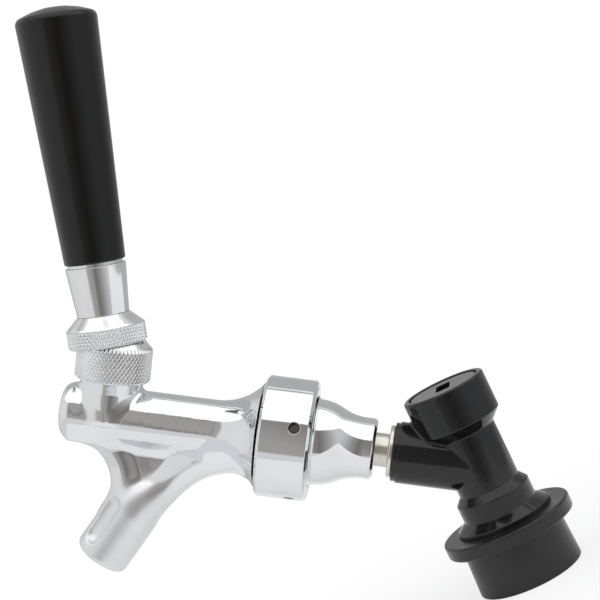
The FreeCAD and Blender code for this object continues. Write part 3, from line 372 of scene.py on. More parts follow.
CAMERA_PLACE = (0.049123, -0.541270, 0.149537)
CAMERA_RIGHT = Vector((0.896487, 0.095929, -0.432561))
CAMERA_UP = Vector((0.419856, 0.127933, 0.898529))
CAMERA_NEAR = Vector((0.141534, -0.987133, 0.074414))
LENS = 105.7
SENSOR = 36.0
CLIP_START = 0.01


def make_camera():
    data = bpy.data.cameras.new("camera")
    data.lens = LENS
    data.sensor_width = SENSOR
    data.clip_start = CLIP_START
    camera = bpy.data.objects.new("camera", data)
    facing = Matrix((CAMERA_RIGHT, CAMERA_UP, CAMERA_NEAR)).transposed().to_4x4()
    camera.matrix_world = Matrix.Translation(CAMERA_PLACE) @ facing
    bpy.context.scene.collection.objects.link(camera)
    bpy.context.scene.camera = camera


# Shader building

def put(tree, kind, place, **settings):
    """A new node in a tree, with its settings."""
    node = tree.nodes.new(kind)
    node.location = place
    for name, value in settings.items():
        setattr(node, name, value)
    return node


def feed(tree, target, name, source):
    """Give a node's input a value, or a link from another node's output."""
    if isinstance(source, bpy.types.NodeSocket):
        tree.links.new(source, target.inputs[name])
    else:
        target.inputs[name].default_value = source


def reckon(tree, place, operation, first, second=0.0, third=0.0):
    """A Math node's result."""
    node = put(tree, "ShaderNodeMath", place, operation=operation)
    for index, source in enumerate((first, second, third)):
        feed(tree, node, index, source)
    return node.outputs[0]


def measure(tree, place, operation, first, second=(0, 0, 0)):
    """A Vector Math node's result, a number for a length or a dot product."""
    node = put(tree, "ShaderNodeVectorMath", place, operation=operation)
    feed(tree, node, 0, first)
    feed(tree, node, 1, second)
    return node.outputs["Value" if operation in ("LENGTH", "DOT_PRODUCT") else "Vector"]


def blend(tree, place, amount, first, second):
    """A colour between two colours."""
    node = put(tree, "ShaderNodeMix", place, data_type="RGBA")
    feed(tree, node, 0, amount)
    feed(tree, node, 6, first)
    feed(tree, node, 7, second)
    return node.outputs[2]


def stretch(tree, place, value, low, high, to_low=0.0, to_high=1.0):
    """A value carried smoothly from one range to another, and held at its ends."""
    node = put(tree, "ShaderNodeMapRange", place, interpolation_type="SMOOTHSTEP")
    for name, source in (("Value", value), ("From Min", low), ("From Max", high),
                         ("To Min", to_low), ("To Max", to_high)):
        feed(tree, node, name, source)
    return node.outputs["Result"]


def grey(level, warmth=0.0):
    """A nearly grey colour, warmer above zero and cooler below."""
    return (level * (1 + warmth), level, level * (1 - warmth), 1.0)


def ramp(tree, place, value, stops):
    """A grey looked up along a row of (place, level, warmth) stops."""
    node = put(tree, "ShaderNodeValToRGB", place)
    row = node.color_ramp.elements
    for index, (at, level, warmth) in enumerate(stops):
        stop = row[index] if index < 2 else row.new(at)
        stop.position = at
        stop.color = grey(level, warmth)
    feed(tree, node, 0, value)
    return node.outputs[0]


# Studio: a small pale table in a room with a white ceiling box, pale walls and a dim camera side.
# The walls go round the room from straight behind the part, and the ceiling goes over it from its
# front to its back, each as (place, level, warmth). The edges are directions, as dot products.

ROOM_LEVEL = 1.2
WALLS = (
    (0.00, 0.40, 0), (0.09, 0.42, 0), (0.14, 0.62, 0), (0.30, 0.66, 0), (0.408, 0.64, 0),
    (0.420, 0.34, 0.04), (0.450, 0.31, 0.05), (0.454, 0.17, 0.05), (0.458, 0.32, 0.05),
    (0.472, 0.30, 0.05), (0.485, 0.20, 0.06), (0.515, 0.15, 0.06), (0.56, 0.26, 0.04),
    (0.585, 0.34, -0.02), (0.64, 0.52, -0.03), (0.70, 0.50, -0.03), (0.75, 0.46, -0.02),
    (0.758, 0.38, 0), (1.00, 0.40, 0),
)
CEILING = (
    (0.00, 1.0, 0), (0.560, 1.0, 0), (0.568, 0.34, 0), (0.585, 0.36, 0), (0.590, 0.78, 0),
    (0.606, 0.78, 0), (0.612, 0.40, 0), (1.00, 0.36, 0),
)
TABLE_BELOW = grey(0.59, -0.025)
CEILING_EDGE = (0.545, 0.575)
TABLE_EDGE = (-0.48, -0.43)
SCREEN_EDGE = (0.972, 0.998)


def make_world():
    """The room. Glossy rays see it with a white screen behind the part, the camera plain white."""
    world = bpy.data.worlds.new("studio")
    bpy.context.scene.world = world
    world.use_nodes = True
    tree = world.node_tree
    tree.nodes.clear()
    way = put(tree, "ShaderNodeTexCoord", (-1500, 0)).outputs["Generated"]
    right = measure(tree, (-1300, 200), "DOT_PRODUCT", way, CAMERA_RIGHT)
    up = measure(tree, (-1300, 0), "DOT_PRODUCT", way, CAMERA_UP)
    near = measure(tree, (-1300, -200), "DOT_PRODUCT", way, CAMERA_NEAR)
    around = reckon(tree, (-1100, 200), "ARCTAN2", right, near)
    around = reckon(tree, (-900, 200), "MULTIPLY_ADD", around, 1 / (2 * math.pi), 0.5)
    over = reckon(tree, (-1100, -200), "ARCTAN2", up, near)
    over = reckon(tree, (-900, -200), "MULTIPLY", over, 1 / math.pi)
    walls = ramp(tree, (-600, 200), around, WALLS)
    ceiling = ramp(tree, (-600, -200), over, CEILING)
    room = blend(tree, (-300, 0), stretch(tree, (-600, 0), up, *CEILING_EDGE), walls, ceiling)
    low = stretch(tree, (-600, -500), up, *TABLE_EDGE)
    room = blend(tree, (-100, 0), low, TABLE_BELOW, room)
    path = put(tree, "ShaderNodeLightPath", (-300, 500)).outputs
    behind = reckon(tree, (-500, 700), "MULTIPLY", near, -1.0)
    screen = stretch(tree, (-300, 700), behind, *SCREEN_EDGE)
    screen = reckon(tree, (-100, 700), "MULTIPLY", screen, path["Is Glossy Ray"])
    seen = reckon(tree, (-100, 400), "MAXIMUM", path["Is Camera Ray"], path["Is Transmission Ray"])
    seen = reckon(tree, (50, 400), "MAXIMUM", seen, screen)
    lit = put(tree, "ShaderNodeBackground", (400, 100))
    feed(tree, lit, "Color", blend(tree, (200, 100), seen, room, grey(1.0)))
    strength = reckon(tree, (200, 350), "MULTIPLY_ADD", seen, 1 - ROOM_LEVEL, ROOM_LEVEL)
    feed(tree, lit, "Strength", strength)
    out = put(tree, "ShaderNodeOutputWorld", (600, 100))
    tree.links.new(lit.outputs[0], out.inputs["Surface"])


TABLE_LOW = (-0.23, -0.16)
TABLE_HIGH = (0.17, 0.16)
TABLE_SHINE = 0.3
TABLE_COLOUR = grey(0.80, -0.01)
SHADOW_REACH = (0.03, 0.14)
SHADOW_SHARE = 0.22


def make_floor():
    """A pale table top that fades to plain white for the camera, and keeps the part's shadow."""
    mesh = bpy.data.meshes.new("floor")
    (left, front), (right, back) = TABLE_LOW, TABLE_HIGH
    corners = [(left, front, 0), (right, front, 0), (right, back, 0), (left, back, 0)]
    mesh.from_pydata(corners, [], [(0, 1, 2, 3)])
    floor = bpy.data.objects.new("floor", mesh)
    bpy.context.scene.collection.objects.link(floor)
    material = bpy.data.materials.new("table_white")
    material.use_nodes = True
    tree = material.node_tree
    tree.nodes.clear()
    plain = put(tree, "ShaderNodeBsdfDiffuse", (0, 0))
    feed(tree, plain, "Color", TABLE_COLOUR)
    white = put(tree, "ShaderNodeEmission", (0, -200))
    feed(tree, white, "Color", grey(1.0))
    place = put(tree, "ShaderNodeTexCoord", (-900, 200)).outputs["Object"]
    far = measure(tree, (-700, 200), "LENGTH", place)
    whiter = stretch(tree, (-500, 200), far, *SHADOW_REACH, 1 - SHADOW_SHARE, 1.0)
    path = put(tree, "ShaderNodeLightPath", (-700, -100)).outputs
    seen = reckon(tree, (-500, -100), "MAXIMUM", path["Is Camera Ray"], path["Is Transmission Ray"])
    seen = reckon(tree, (-400, -300), "MULTIPLY_ADD", path["Is Glossy Ray"], TABLE_SHINE, seen)
    shown = reckon(tree, (-250, 100), "MULTIPLY", whiter, seen)
    mix = put(tree, "ShaderNodeMixShader", (250, 0))
    feed(tree, mix, 0, shown)
    tree.links.new(plain.outputs[0], mix.inputs[1])
    tree.links.new(white.outputs[0], mix.inputs[2])
    out = put(tree, "ShaderNodeOutputMaterial", (450, 0))
    tree.links.new(mix.outputs[0], out.inputs["Surface"])
    mesh.materials.append(material)


# Lamps: name, way to them to the camera's right, up and near, distance, size and watts
LAMPS = (
    ("ceiling_box", (-0.1, 1.0, 0.5), 0.8, 0.30, 1.6),
    ("side_strip", (0.80, 0.15, 0.60), 0.8, 0.22, 0.25),
    ("back_fill", (-0.3, 0.6, -1.0), 0.9, 0.35, 0.6),
)


def make_lamp(name, way, distance, size, watts):
    """A square soft lamp that looks at the middle of the part, and isn't seen in it."""
    data = bpy.data.lights.new(name, "AREA")
    data.shape = "SQUARE"
    data.size = size
    data.energy = watts
    lamp = bpy.data.objects.new(name, data)
    right, up, near = way
    away = (CAMERA_RIGHT * right + CAMERA_UP * up + CAMERA_NEAR * near).normalized()
    facing = away.to_track_quat("Z", "Y").to_matrix().to_4x4()
    lamp.matrix_world = Matrix.Translation((cad_low + cad_high) / 2 + away * distance) @ facing
    lamp.visible_camera = False
    lamp.visible_glossy = False
    bpy.context.scene.collection.objects.link(lamp)


# Effects that the finishes share

def effect(name, inputs, outputs):
    """A shader node group with float inputs and outputs, and its input and output nodes."""
    group = bpy.data.node_groups.new(name, "ShaderNodeTree")
    sockets, kind = group.interface, "NodeSocketFloat"
    for label, value in inputs:
        sockets.new_socket(label, in_out="INPUT", socket_type=kind).default_value = value
    for label in outputs:
        sockets.new_socket(label, in_out="OUTPUT", socket_type=kind)
    return group, put(group, "NodeGroupInput", (-1200, 0)), put(group, "NodeGroupOutput", (600, 0))


def spread(tree, size):
    """Points of the piece itself, so many sizes away from its origin."""
    place = put(tree, "ShaderNodeTexCoord", (-1200, 300)).outputs["Object"]
    scaled = put(tree, "ShaderNodeVectorMath", (-900, 200), operation="SCALE")
    feed(tree, scaled, 0, place)
    feed(tree, scaled, "Scale", reckon(tree, (-1000, 0), "DIVIDE", 1.0, size))
    return scaled.outputs[0]


def noise(tree, place, at, detail, rough=0.5):
    """A soft noise's level, from 0 to 1 and mostly near the middle."""
    node = put(tree, "ShaderNodeTexNoise", place)
    feed(tree, node, "Vector", at)
    feed(tree, node, "Scale", 1.0)
    feed(tree, node, "Detail", detail)
    feed(tree, node, "Roughness", rough)
    return node.outputs["Fac"]


def make_mottle():
    """Soft uneven patches between two levels, such as polish haze or a moulding's uneven gloss."""
    tree, given, out = effect("mottle", (("Size", 0.01), ("Low", 0.0), ("High", 1.0)), ("Level",))
    patches = noise(tree, (-500, 100), spread(tree, given.outputs["Size"]), 3.0, 0.55)
    level = stretch(tree, (0, 0), patches, 0.32, 0.68, given.outputs["Low"], given.outputs["High"])
    feed(tree, out, "Level", level)
    return tree


def make_grain():
    """The height of a fine even grain."""
    tree, given, out = effect("grain", (("Size", 0.0005),), ("Height",))
    feed(tree, out, "Height", noise(tree, (-400, 0), spread(tree, given.outputs["Size"]), 1.0))
    return tree


# Two ways that scratches run, as a turn of the points and how far they are squeezed sideways
SCRATCH_WAYS = (((0.3, 0.5, 0.2), 14.0), ((1.2, -0.4, 0.9), 11.0))


def make_scratches():
    """Hairline scratches in a few directions, as a mask that is mostly bare."""
    tree, given, out = effect("scratches", (("Size", 0.004), ("Share", 0.2)), ("Mask",))
    points = spread(tree, given.outputs["Size"])
    lines = None
    for index, (turn, squeeze) in enumerate(SCRATCH_WAYS):
        mapped = put(tree, "ShaderNodeMapping", (-700, -250 * index))
        feed(tree, mapped, "Vector", points)
        feed(tree, mapped, "Rotation", turn)
        feed(tree, mapped, "Scale", (squeeze, 0.35, squeeze))
        streak = noise(tree, (-500, -250 * index), mapped.outputs[0], 0.0)
        fine = stretch(tree, (-300, -250 * index), streak, 0.70, 0.74)
        lines = fine if lines is None else reckon(tree, (-100, 0), "MAXIMUM", lines, fine)
    where = stretch(tree, (-300, -600), noise(tree, (-500, -600), points, 2.0), 0.45, 0.7)
    mask = reckon(tree, (100, 0), "MULTIPLY", lines, where)
    feed(tree, out, "Mask", reckon(tree, (300, 0), "MULTIPLY", mask, given.outputs["Share"]))
    return tree


def make_worn_edges():
    """A mask of the piece's outer edges, broken up where handling hasn't reached."""
    tree, given, out = effect("worn_edges", (("Width", 0.0003), ("Share", 1.0)), ("Mask",))
    soft = put(tree, "ShaderNodeBevel", (-800, 0), samples=4)
    feed(tree, soft, "Radius", given.outputs["Width"])
    sharp = put(tree, "ShaderNodeNewGeometry", (-800, -200)).outputs["Normal"]
    alike = measure(tree, (-600, 0), "DOT_PRODUCT", soft.outputs[0], sharp)
    edge = stretch(tree, (-400, 0), alike, 0.999, 0.93)
    size = reckon(tree, (-1000, 400), "MULTIPLY", given.outputs["Width"], 12.0)
    patches = noise(tree, (-500, 300), spread(tree, size), 3.0, 0.6)
    broken = stretch(tree, (-200, 300), patches, 0.35, 0.65)
    mask = reckon(tree, (0, 0), "MULTIPLY", edge, broken)
    feed(tree, out, "Mask", reckon(tree, (200, 0), "MULTIPLY", mask, given.outputs["Share"]))
    return tree


def make_recess_shade():
    """A mask of narrow sunken places, where shade is painted in because little light reaches them.
    """
    tree, given, out = effect("painted_recess_shade", (("Reach", 0.004), ("Share", 1.0)), ("Mask",))
    open_sky = put(tree, "ShaderNodeAmbientOcclusion", (-600, 0), samples=6)
    feed(tree, open_sky, "Distance", given.outputs["Reach"])
    shade_mask = stretch(tree, (-300, 0), open_sky.outputs["AO"], 0.50, 0.20)
    feed(tree, out, "Mask", reckon(tree, (0, 0), "MULTIPLY", shade_mask, given.outputs["Share"]))
    return tree


def make_turning_lines(axis_place, axis):
    """The height of fine uneven rings left by a lathe tool along an axis."""
    tree, given, out = effect("turning_lines", (("Pitch", 0.0003),), ("Height",))
    place = put(tree, "ShaderNodeTexCoord", (-1200, 300)).outputs["Object"]
    along = measure(tree, (-900, 300), "SUBTRACT", place, axis_place)
    along = measure(tree, (-700, 300), "DOT_PRODUCT", along, axis)
    row = reckon(tree, (-500, 300), "DIVIDE", along, given.outputs["Pitch"])
    line = put(tree, "ShaderNodeCombineXYZ", (-300, 300))
    feed(tree, line, "X", row)
    feed(tree, out, "Height", noise(tree, (0, 200), line.outputs[0], 2.0))
    return tree


MOTTLE = make_mottle()
GRAIN = make_grain()
SCRATCHES = make_scratches()
WORN_EDGES = make_worn_edges()
# A mask for the shade painted into narrow hollows
RECESS_SHADE = make_recess_shade()
TURNING_LINES = make_turning_lines(FAUCET_ORIGIN, FAUCET_AXIS)


def use(tree, group, place, **values):
    """An effect placed in a material with its own values."""
    node = put(tree, "ShaderNodeGroup", place, node_tree=group)
    for label, value in values.items():
        feed(tree, node, label, value)
    return node.outputs[0]


def bump(tree, place, height, depth):
    """A normal pushed about by a height from 0 to 1, with its depth in metres."""
    node = put(tree, "ShaderNodeBump", place)
    feed(tree, node, "Strength", 1.0)
    feed(tree, node, "Distance", depth)
    feed(tree, node, "Height", height)
    return node.outputs[0]


# Finishes

def new_finish(name, metallic=0.0):
    """An empty material with a Principled BSDF, and its tree."""
    material = bpy.data.materials.new(name)
    material.use_nodes = True
    tree = material.node_tree
    tree.nodes.clear()
    skin = put(tree, "ShaderNodeBsdfPrincipled", (300, 0))
    feed(tree, skin, "Metallic", metallic)
    out = put(tree, "ShaderNodeOutputMaterial", (600, 0))
    tree.links.new(skin.outputs[0], out.inputs["Surface"])
    return material, tree, skin


# Plate and turned steel: clean, hazy and worn, and the near black painted into narrow hollows as
# shade
CHROME_CLEAN = (0.855, 0.865, 0.885, 1)
CHROME_HAZY = (0.82, 0.825, 0.835, 1)
CHROME_WORN = (0.93, 0.93, 0.93, 1)
# Near black, painted into narrow hollows as shade
SHADE_BLACK = (0.02, 0.019, 0.018, 1)
KNURL_CLEAN = (0.90, 0.905, 0.915, 1)
KNURL_HAZY = (0.83, 0.835, 0.84, 1)
KNURL_WORN = (0.96, 0.96, 0.96, 1)
STEEL_CLEAN = (0.80, 0.76, 0.69, 1)
STEEL_HAZY = (0.70, 0.665, 0.60, 1)
STEEL_WORN = (0.86, 0.83, 0.78, 1)

# How far below the faucet's axis the duller plate of the spout starts and is full, in metres
DULLER_BELOW = (-0.013, -0.025)

# A moulding's paler patches, and how much rougher its rubbed places are
PALER = 1.25
RUBBED_ROUGH = 0.12


def metal_colour(tree, size, clean, hazy, worn, width, share):
    """Clean metal with hazy patches of a size, worn bright along its edges."""
    haze = use(tree, MOTTLE, (-900, 300), Size=size, Low=0.0, High=1.0)
    colour = blend(tree, (-600, 300), haze, clean, hazy)
    edge = use(tree, WORN_EDGES, (-900, 100), Width=width, Share=share)
    return blend(tree, (-300, 300), edge, colour, worn)


def make_chrome(name, wave_size, wave_depth, spout_haze):
    """Polished chrome plate, with polish haze, hairlines, a faint waviness, a duller spout and
    painted shade in its narrow hollows.
    """
    material, tree, skin = new_finish(name, 1.0)
    colour = metal_colour(tree, 0.014, CHROME_CLEAN, CHROME_HAZY, CHROME_WORN, 0.0003, 0.5)
    # Narrow hollows are painted near black, as shade where little light reaches
    shade_mask = use(tree, RECESS_SHADE, (-900, 500), Reach=0.004, Share=1.0)
    feed(tree, skin, "Base Color", blend(tree, (-100, 300), shade_mask, colour, SHADE_BLACK))
    gloss = use(tree, MOTTLE, (-900, -100), Size=0.006, Low=0.025, High=0.06)
    scratch = use(tree, SCRATCHES, (-900, -300), Size=0.006, Share=0.05)
    rough = reckon(tree, (-600, -100), "ADD", gloss, scratch)
    place = put(tree, "ShaderNodeTexCoord", (-1500, -300)).outputs["Object"]
    below = measure(tree, (-1300, -300), "SUBTRACT", place, FAUCET_ORIGIN)
    below = measure(tree, (-1100, -300), "DOT_PRODUCT", below, FAUCET_UP)
    duller = stretch(tree, (-900, -700), below, *DULLER_BELOW, 0.0, spout_haze)
    feed(tree, skin, "Roughness", reckon(tree, (-300, -100), "ADD", rough, duller))
    wave = use(tree, MOTTLE, (-900, -500), Size=wave_size, Low=0.0, High=1.0)
    feed(tree, skin, "Normal", bump(tree, (-300, -400), wave, wave_depth))
    return material


def make_knurled_chrome():
    """Plate over knurling: brighter on the worn points, duller down in the grooves."""
    material, tree, skin = new_finish("knurled_chrome", 1.0)
    colour = metal_colour(tree, 0.004, KNURL_CLEAN, KNURL_HAZY, KNURL_WORN, 0.00012, 1.0)
    feed(tree, skin, "Base Color", colour)
    feed(tree, skin, "Roughness", use(tree, MOTTLE, (-600, -100), Size=0.003, Low=0.09, High=0.20))
    grain = use(tree, GRAIN, (-600, -300), Size=0.00025)
    feed(tree, skin, "Normal", bump(tree, (-300, -300), grain, 0.000006))
    return material


def make_stainless():
    """Turned stainless, satin and a little warm, with the tool's rings round it."""
    material, tree, skin = new_finish("turned_stainless", 1.0)
    colour = metal_colour(tree, 0.003, STEEL_CLEAN, STEEL_HAZY, STEEL_WORN, 0.0002, 0.7)
    feed(tree, skin, "Base Color", colour)
    feed(tree, skin, "Roughness", use(tree, MOTTLE, (-600, -100), Size=0.002, Low=0.20, High=0.32))
    rings = use(tree, TURNING_LINES, (-600, -300), Pitch=0.00018)
    feed(tree, skin, "Normal", bump(tree, (-300, -300), rings, 0.000012))
    return material


def make_plain_metal(name, bright, dull, low, high):
    """A drawn or machined metal for the parts inside, with an uneven sheen and a fine grain."""
    material, tree, skin = new_finish(name, 1.0)
    haze = use(tree, MOTTLE, (-600, 300), Size=0.003, Low=0.0, High=1.0)
    feed(tree, skin, "Base Color", blend(tree, (-300, 300), haze, bright, dull))
    feed(tree, skin, "Roughness", use(tree, MOTTLE, (-600, -100), Size=0.002, Low=low, High=high))
    grain = use(tree, GRAIN, (-600, -300), Size=0.00015)
    feed(tree, skin, "Normal", bump(tree, (-300, -300), grain, 0.000006))
    return material


def make_plastic(name, colour, worn, gloss, grain, depth, share=0.5, shine=0.5):
    """A moulded plastic: uneven gloss, a fine grain, light scuffs and paler rubbed edges."""
    material, tree, skin = new_finish(name)
    feed(tree, skin, "Specular IOR Level", shine)
    tint = use(tree, MOTTLE, (-900, 300), Size=0.02, Low=0.0, High=1.0)
    paler = tuple(level * PALER for level in colour[:3]) + (1.0,)
    base = blend(tree, (-600, 300), tint, colour, paler)
    edge = use(tree, WORN_EDGES, (-900, 100), Width=0.00035, Share=share)
    scuff = use(tree, SCRATCHES, (-900, -300), Size=0.005, Share=0.35)
    rubbed = reckon(tree, (-600, 0), "MAXIMUM", edge, scuff)
    feed(tree, skin, "Base Color", blend(tree, (-200, 300), rubbed, base, worn))
    level = use(tree, MOTTLE, (-900, -100), Size=0.008, Low=gloss[0], High=gloss[1])
    rough = reckon(tree, (-300, -100), "MULTIPLY_ADD", rubbed, RUBBED_ROUGH, level)
    feed(tree, skin, "Roughness", rough)
    fine = use(tree, GRAIN, (-900, -500), Size=grain)
    feed(tree, skin, "Normal", bump(tree, (-300, -400), fine, depth))
    return material


def make_handle_black():
    return make_plastic("handle_black", colour=(0.0020, 0.0018, 0.0018, 1),
                        worn=(0.02, 0.019, 0.018, 1), gloss=(0.18, 0.25), grain=0.0004,
                        depth=0.000006, shine=0.42)


def make_disconnect_black():
    return make_plastic("disconnect_black", colour=(0.0065, 0.0065, 0.007, 1),
                        worn=(0.04, 0.039, 0.038, 1), gloss=(0.08, 0.15), grain=0.0012,
                        depth=0.000012)


def make_sleeve_black():
    return make_plastic("sleeve_black", colour=(0.0085, 0.0085, 0.009, 1),
                        worn=(0.04, 0.039, 0.038, 1), gloss=(0.20, 0.30), grain=0.0005,
                        depth=0.000012)


def make_rubber():
    return make_plastic("seal_rubber", colour=(0.012, 0.012, 0.012, 1), worn=(0.04, 0.04, 0.04, 1),
                        gloss=(0.55, 0.70), grain=0.0003, depth=0.00002, share=0.3)


def make_nylon():
    return make_plastic("natural_nylon", colour=(0.62, 0.60, 0.53, 1), worn=(0.80, 0.79, 0.75, 1),
                        gloss=(0.38, 0.50), grain=0.0004, depth=0.00001, share=0.3)


def make_spring_wire():
    return make_plain_metal("spring_wire", bright=(0.60, 0.60, 0.61, 1),
                            dull=(0.45, 0.45, 0.46, 1), low=0.22, high=0.36)


def make_brass():
    return make_plain_metal("turned_brass", bright=(0.83, 0.64, 0.30, 1),
                            dull=(0.70, 0.51, 0.22, 1), low=0.18, high=0.34)


FINISHES = {
    "chrome": make_chrome("turned_chrome", wave_size=0.012, wave_depth=0.000010, spout_haze=0.0),
    "stainless": make_stainless(),
    "spring_steel": make_spring_wire(),
    "brass": make_brass(),
    "handle_black": make_handle_black(),
    "disconnect_black": make_disconnect_black(),
    "sleeve_black": make_sleeve_black(),
    "rubber": make_rubber(),
    "nylon": make_nylon(),
}


def dress_nodes():
    """Give every carried-over CAD node the finish of its slot."""
    for row in frame["record"]["subparts"]:
        mesh = frame["nodes"][row["node"]].data
        mesh.materials.clear()
        mesh.materials.append(FINISHES[row["material_slot"]])


# Disconnect, in the post frame

MOUTH_R = 9.8
MOUTH_TOP_Z = 10.5
SEAL_BORE_R = 8.45
SEAL_BORE_TOP_Z = 16.5
LOWER_TUBE_R = 13.4
COLLAR_R = 15.35
COLLAR_BOTTOM_Z = 17.5
COLLAR_TOP_Z = 20.95
PIN_HOLE_R = 3.0
PIN_HOLE_BOTTOM_Z = 18.8
PIN_HOLE_TOP_Z = 22.0
RING_R = 12.1
RING_BOTTOM_Z = 23.4
RING_TOP_Z = 28.95
BARREL_R = 9.95
BARREL_BOTTOM_Z = 31.4
BARREL_TOP_Z = 49.75
CHAMBER_R = 6.8
HEAD_R = 13.4
HEAD_BOTTOM_Z = 53.25
HEAD_TOP_Z = 65.6
HEAD_BORE_R = 11.6
GASKET_R = 9.2
GASKET_BOTTOM_Z = 55.6
GASKET_TOP_Z = 60.6
WAIST_TOP_Z = 62.0
WAIST = (
    (RING_R, RING_BOTTOM_Z), (RING_R, RING_TOP_Z), (BARREL_R, BARREL_BOTTOM_Z),
    (BARREL_R, BARREL_TOP_Z), (HEAD_R, HEAD_BOTTOM_Z), (HEAD_R, WAIST_TOP_Z),
)
ARM_R = 9.65
ARM_RIM_R = 9.2
ARM_BORE_R = 5.9
ARM_END = 26.8
ARM_RIM_LEN = 1.5
ARM_FILLET = 0.8
ARM_FILLET_RINGS = 8
ARM_HALVINGS = 30


def make_disconnect_shell():
    """The turned body, from the rim over the post up to its head, with its mouth and bores."""
    outside = (
        (MOUTH_R, 0, 0.3), (LOWER_TUBE_R, 0, 0.3), (LOWER_TUBE_R, COLLAR_BOTTOM_Z),
        (COLLAR_R, COLLAR_BOTTOM_Z, 0.3), (COLLAR_R, COLLAR_TOP_Z, 0.5),
        (RING_R, RING_BOTTOM_Z, 0.5), (RING_R, RING_TOP_Z, 0.5), (BARREL_R, BARREL_BOTTOM_Z, 0.6),
        (BARREL_R, BARREL_TOP_Z, 0.8), (HEAD_R, HEAD_BOTTOM_Z, 0.6), (HEAD_R, HEAD_TOP_Z, 0.8),
    )
    bores = (
        (HEAD_BORE_R, HEAD_TOP_Z, 0.35), (HEAD_BORE_R, GASKET_TOP_Z), (GASKET_R, GASKET_TOP_Z),
        (GASKET_R, GASKET_BOTTOM_Z), (CHAMBER_R, GASKET_BOTTOM_Z), (CHAMBER_R, PIN_HOLE_TOP_Z),
        (PIN_HOLE_R, PIN_HOLE_TOP_Z), (PIN_HOLE_R, PIN_HOLE_BOTTOM_Z),
        (CHAMBER_R, PIN_HOLE_BOTTOM_Z), (CHAMBER_R, SEAL_BORE_TOP_Z),
        (SEAL_BORE_R, SEAL_BORE_TOP_Z), (SEAL_BORE_R, MOUTH_TOP_Z), (MOUTH_R, MOUTH_TOP_Z),
    )
    return turned(rounded(*outside, *bores))


def waist_gap(points):
    """How far points stand off the disconnect's waist, and the way out from it."""
    radius = np.hypot(points[:, 0], points[:, 1])
    flat = np.column_stack((radius, points[:, 2]))
    best = np.full(len(points), np.inf)
    out = np.zeros((len(points), 2))
    for start, end in zip(WAIST, WAIST[1:]):
        run = np.subtract(end, start)
        share = np.clip((flat - start) @ run / (run @ run), 0, 1)
        away = flat - start - share[:, None] * run
        far = np.linalg.norm(away, axis=1)
        nearer = far < best
        best[nearer] = far[nearer]
        out[nearer] = away[nearer] / np.maximum(far[nearer, None], TINY)
    inside = radius < np.interp(points[:, 2], [z for _, z in WAIST], [r for r, _ in WAIST])
    sign = np.where(inside, -1, 1)
    sideways = points[:, :2] / np.maximum(radius, TINY)[:, None]
    return best * sign, np.column_stack((sideways * out[:, :1], out[:, 1])) * sign[:, None]


def make_disconnect_arm():
    """The arm, from a small fillet that runs out on the waist up to its stepped rim."""
    to_post, origin = np.array(AXIS.to_3x3()), np.array(AXIS.translation)
    angle = 2 * math.pi * np.arange(TURN_STEPS) / TURN_STEPS
    outward = np.column_stack((np.cos(angle), np.sin(angle), np.zeros(TURN_STEPS))) @ to_post.T
    ahead = to_post[:, 2]

    def ring_at(radius, along):
        forward = np.multiply.outer(np.broadcast_to(along, angle.shape), ahead)
        return outward * radius + forward + origin

    near, far = np.zeros(TURN_STEPS), np.full(TURN_STEPS, ARM_END)
    for _ in range(ARM_HALVINGS):
        middle = (near + far) / 2
        free = waist_gap(ring_at(ARM_R + ARM_FILLET, middle))[0] > ARM_FILLET
        near, far = np.where(free, near, middle), np.where(free, middle, far)
    centre = ring_at(ARM_R + ARM_FILLET, far)
    way = waist_gap(centre)[1]
    rings = []
    for share in np.linspace(1, 0, ARM_FILLET_RINGS):
        facing = outward * (1 - share) + way * share
        facing /= np.linalg.norm(facing, axis=1, keepdims=True)
        rings.append((centre - facing * ARM_FILLET, facing, facing))
    line = tidy_outline(rounded(
        (ARM_BORE_R, 0), (ARM_R, 0), (ARM_R, ARM_END - ARM_RIM_LEN, 0.3),
        (ARM_RIM_R, ARM_END - ARM_RIM_LEN), (ARM_RIM_R, ARM_END, 0.3), (ARM_BORE_R, ARM_END),
    ))
    for (radius, along), before, after in zip(line, *corner_normals(line)):
        if along > ARM_END - 2 * ARM_RIM_LEN:
            rings.append((ring_at(radius, along), outward * before[0] + ahead * before[1],
                          outward * after[0] + ahead * after[1]))
    return lofted(rings)


CAP_R = 11.1
CAP_TOP_Z = 65.3
CAP_THICK = 3.9
CAP_EDGE = 0.4
CAP_SLOT_HALF_WIDE = 2.3
CAP_SLOT_HALF_LONG = 5.0
CAP_SLOT_DEEP = 2.4
CAP_SLOT_CORNER = 0.9
CAP_SLOT_EDGE = 0.25
CAP_MARGIN = 0.5
CAP_CELL = 0.16


def cap_field(points):
    """The cap's disc with its edge rounded, less the slot."""
    x, y, z = points.T
    rim = np.hypot(x, y) - CAP_R
    up = np.abs(z - CAP_TOP_Z + CAP_THICK / 2) - CAP_THICK / 2
    disc = round_corner(rim + CAP_EDGE, up + CAP_EDGE) - CAP_EDGE
    wide = np.abs(x) - CAP_SLOT_HALF_WIDE + CAP_SLOT_CORNER
    long = np.abs(y) - CAP_SLOT_HALF_LONG + CAP_SLOT_CORNER
    sides = round_corner(wide, long) - CAP_SLOT_CORNER
    return cut_round(disc, np.maximum(sides, CAP_TOP_Z - CAP_SLOT_DEEP - z), CAP_SLOT_EDGE)


def make_disconnect_cap():
    reach = CAP_R + CAP_MARGIN
    low = (-reach, -reach, CAP_TOP_Z - CAP_THICK - CAP_MARGIN)
    return skin(cap_field, low, (reach, reach, CAP_TOP_Z + CAP_MARGIN), CAP_CELL)


SLEEVE_MOUTH_R = 15.317
SLEEVE_FOOT_R = 17.1
SLEEVE_NECK_R = 16.5
SLEEVE_FLANGE_R = 21.1
SLEEVE_FLANGE_Z = 15.05
SLEEVE_TOP_Z = 19.65
SLEEVE_BORE_R = 15.4
SLEEVE_GUIDE_R = 13.45
SLEEVE_GUIDE_Z = (7.0, 8.6)


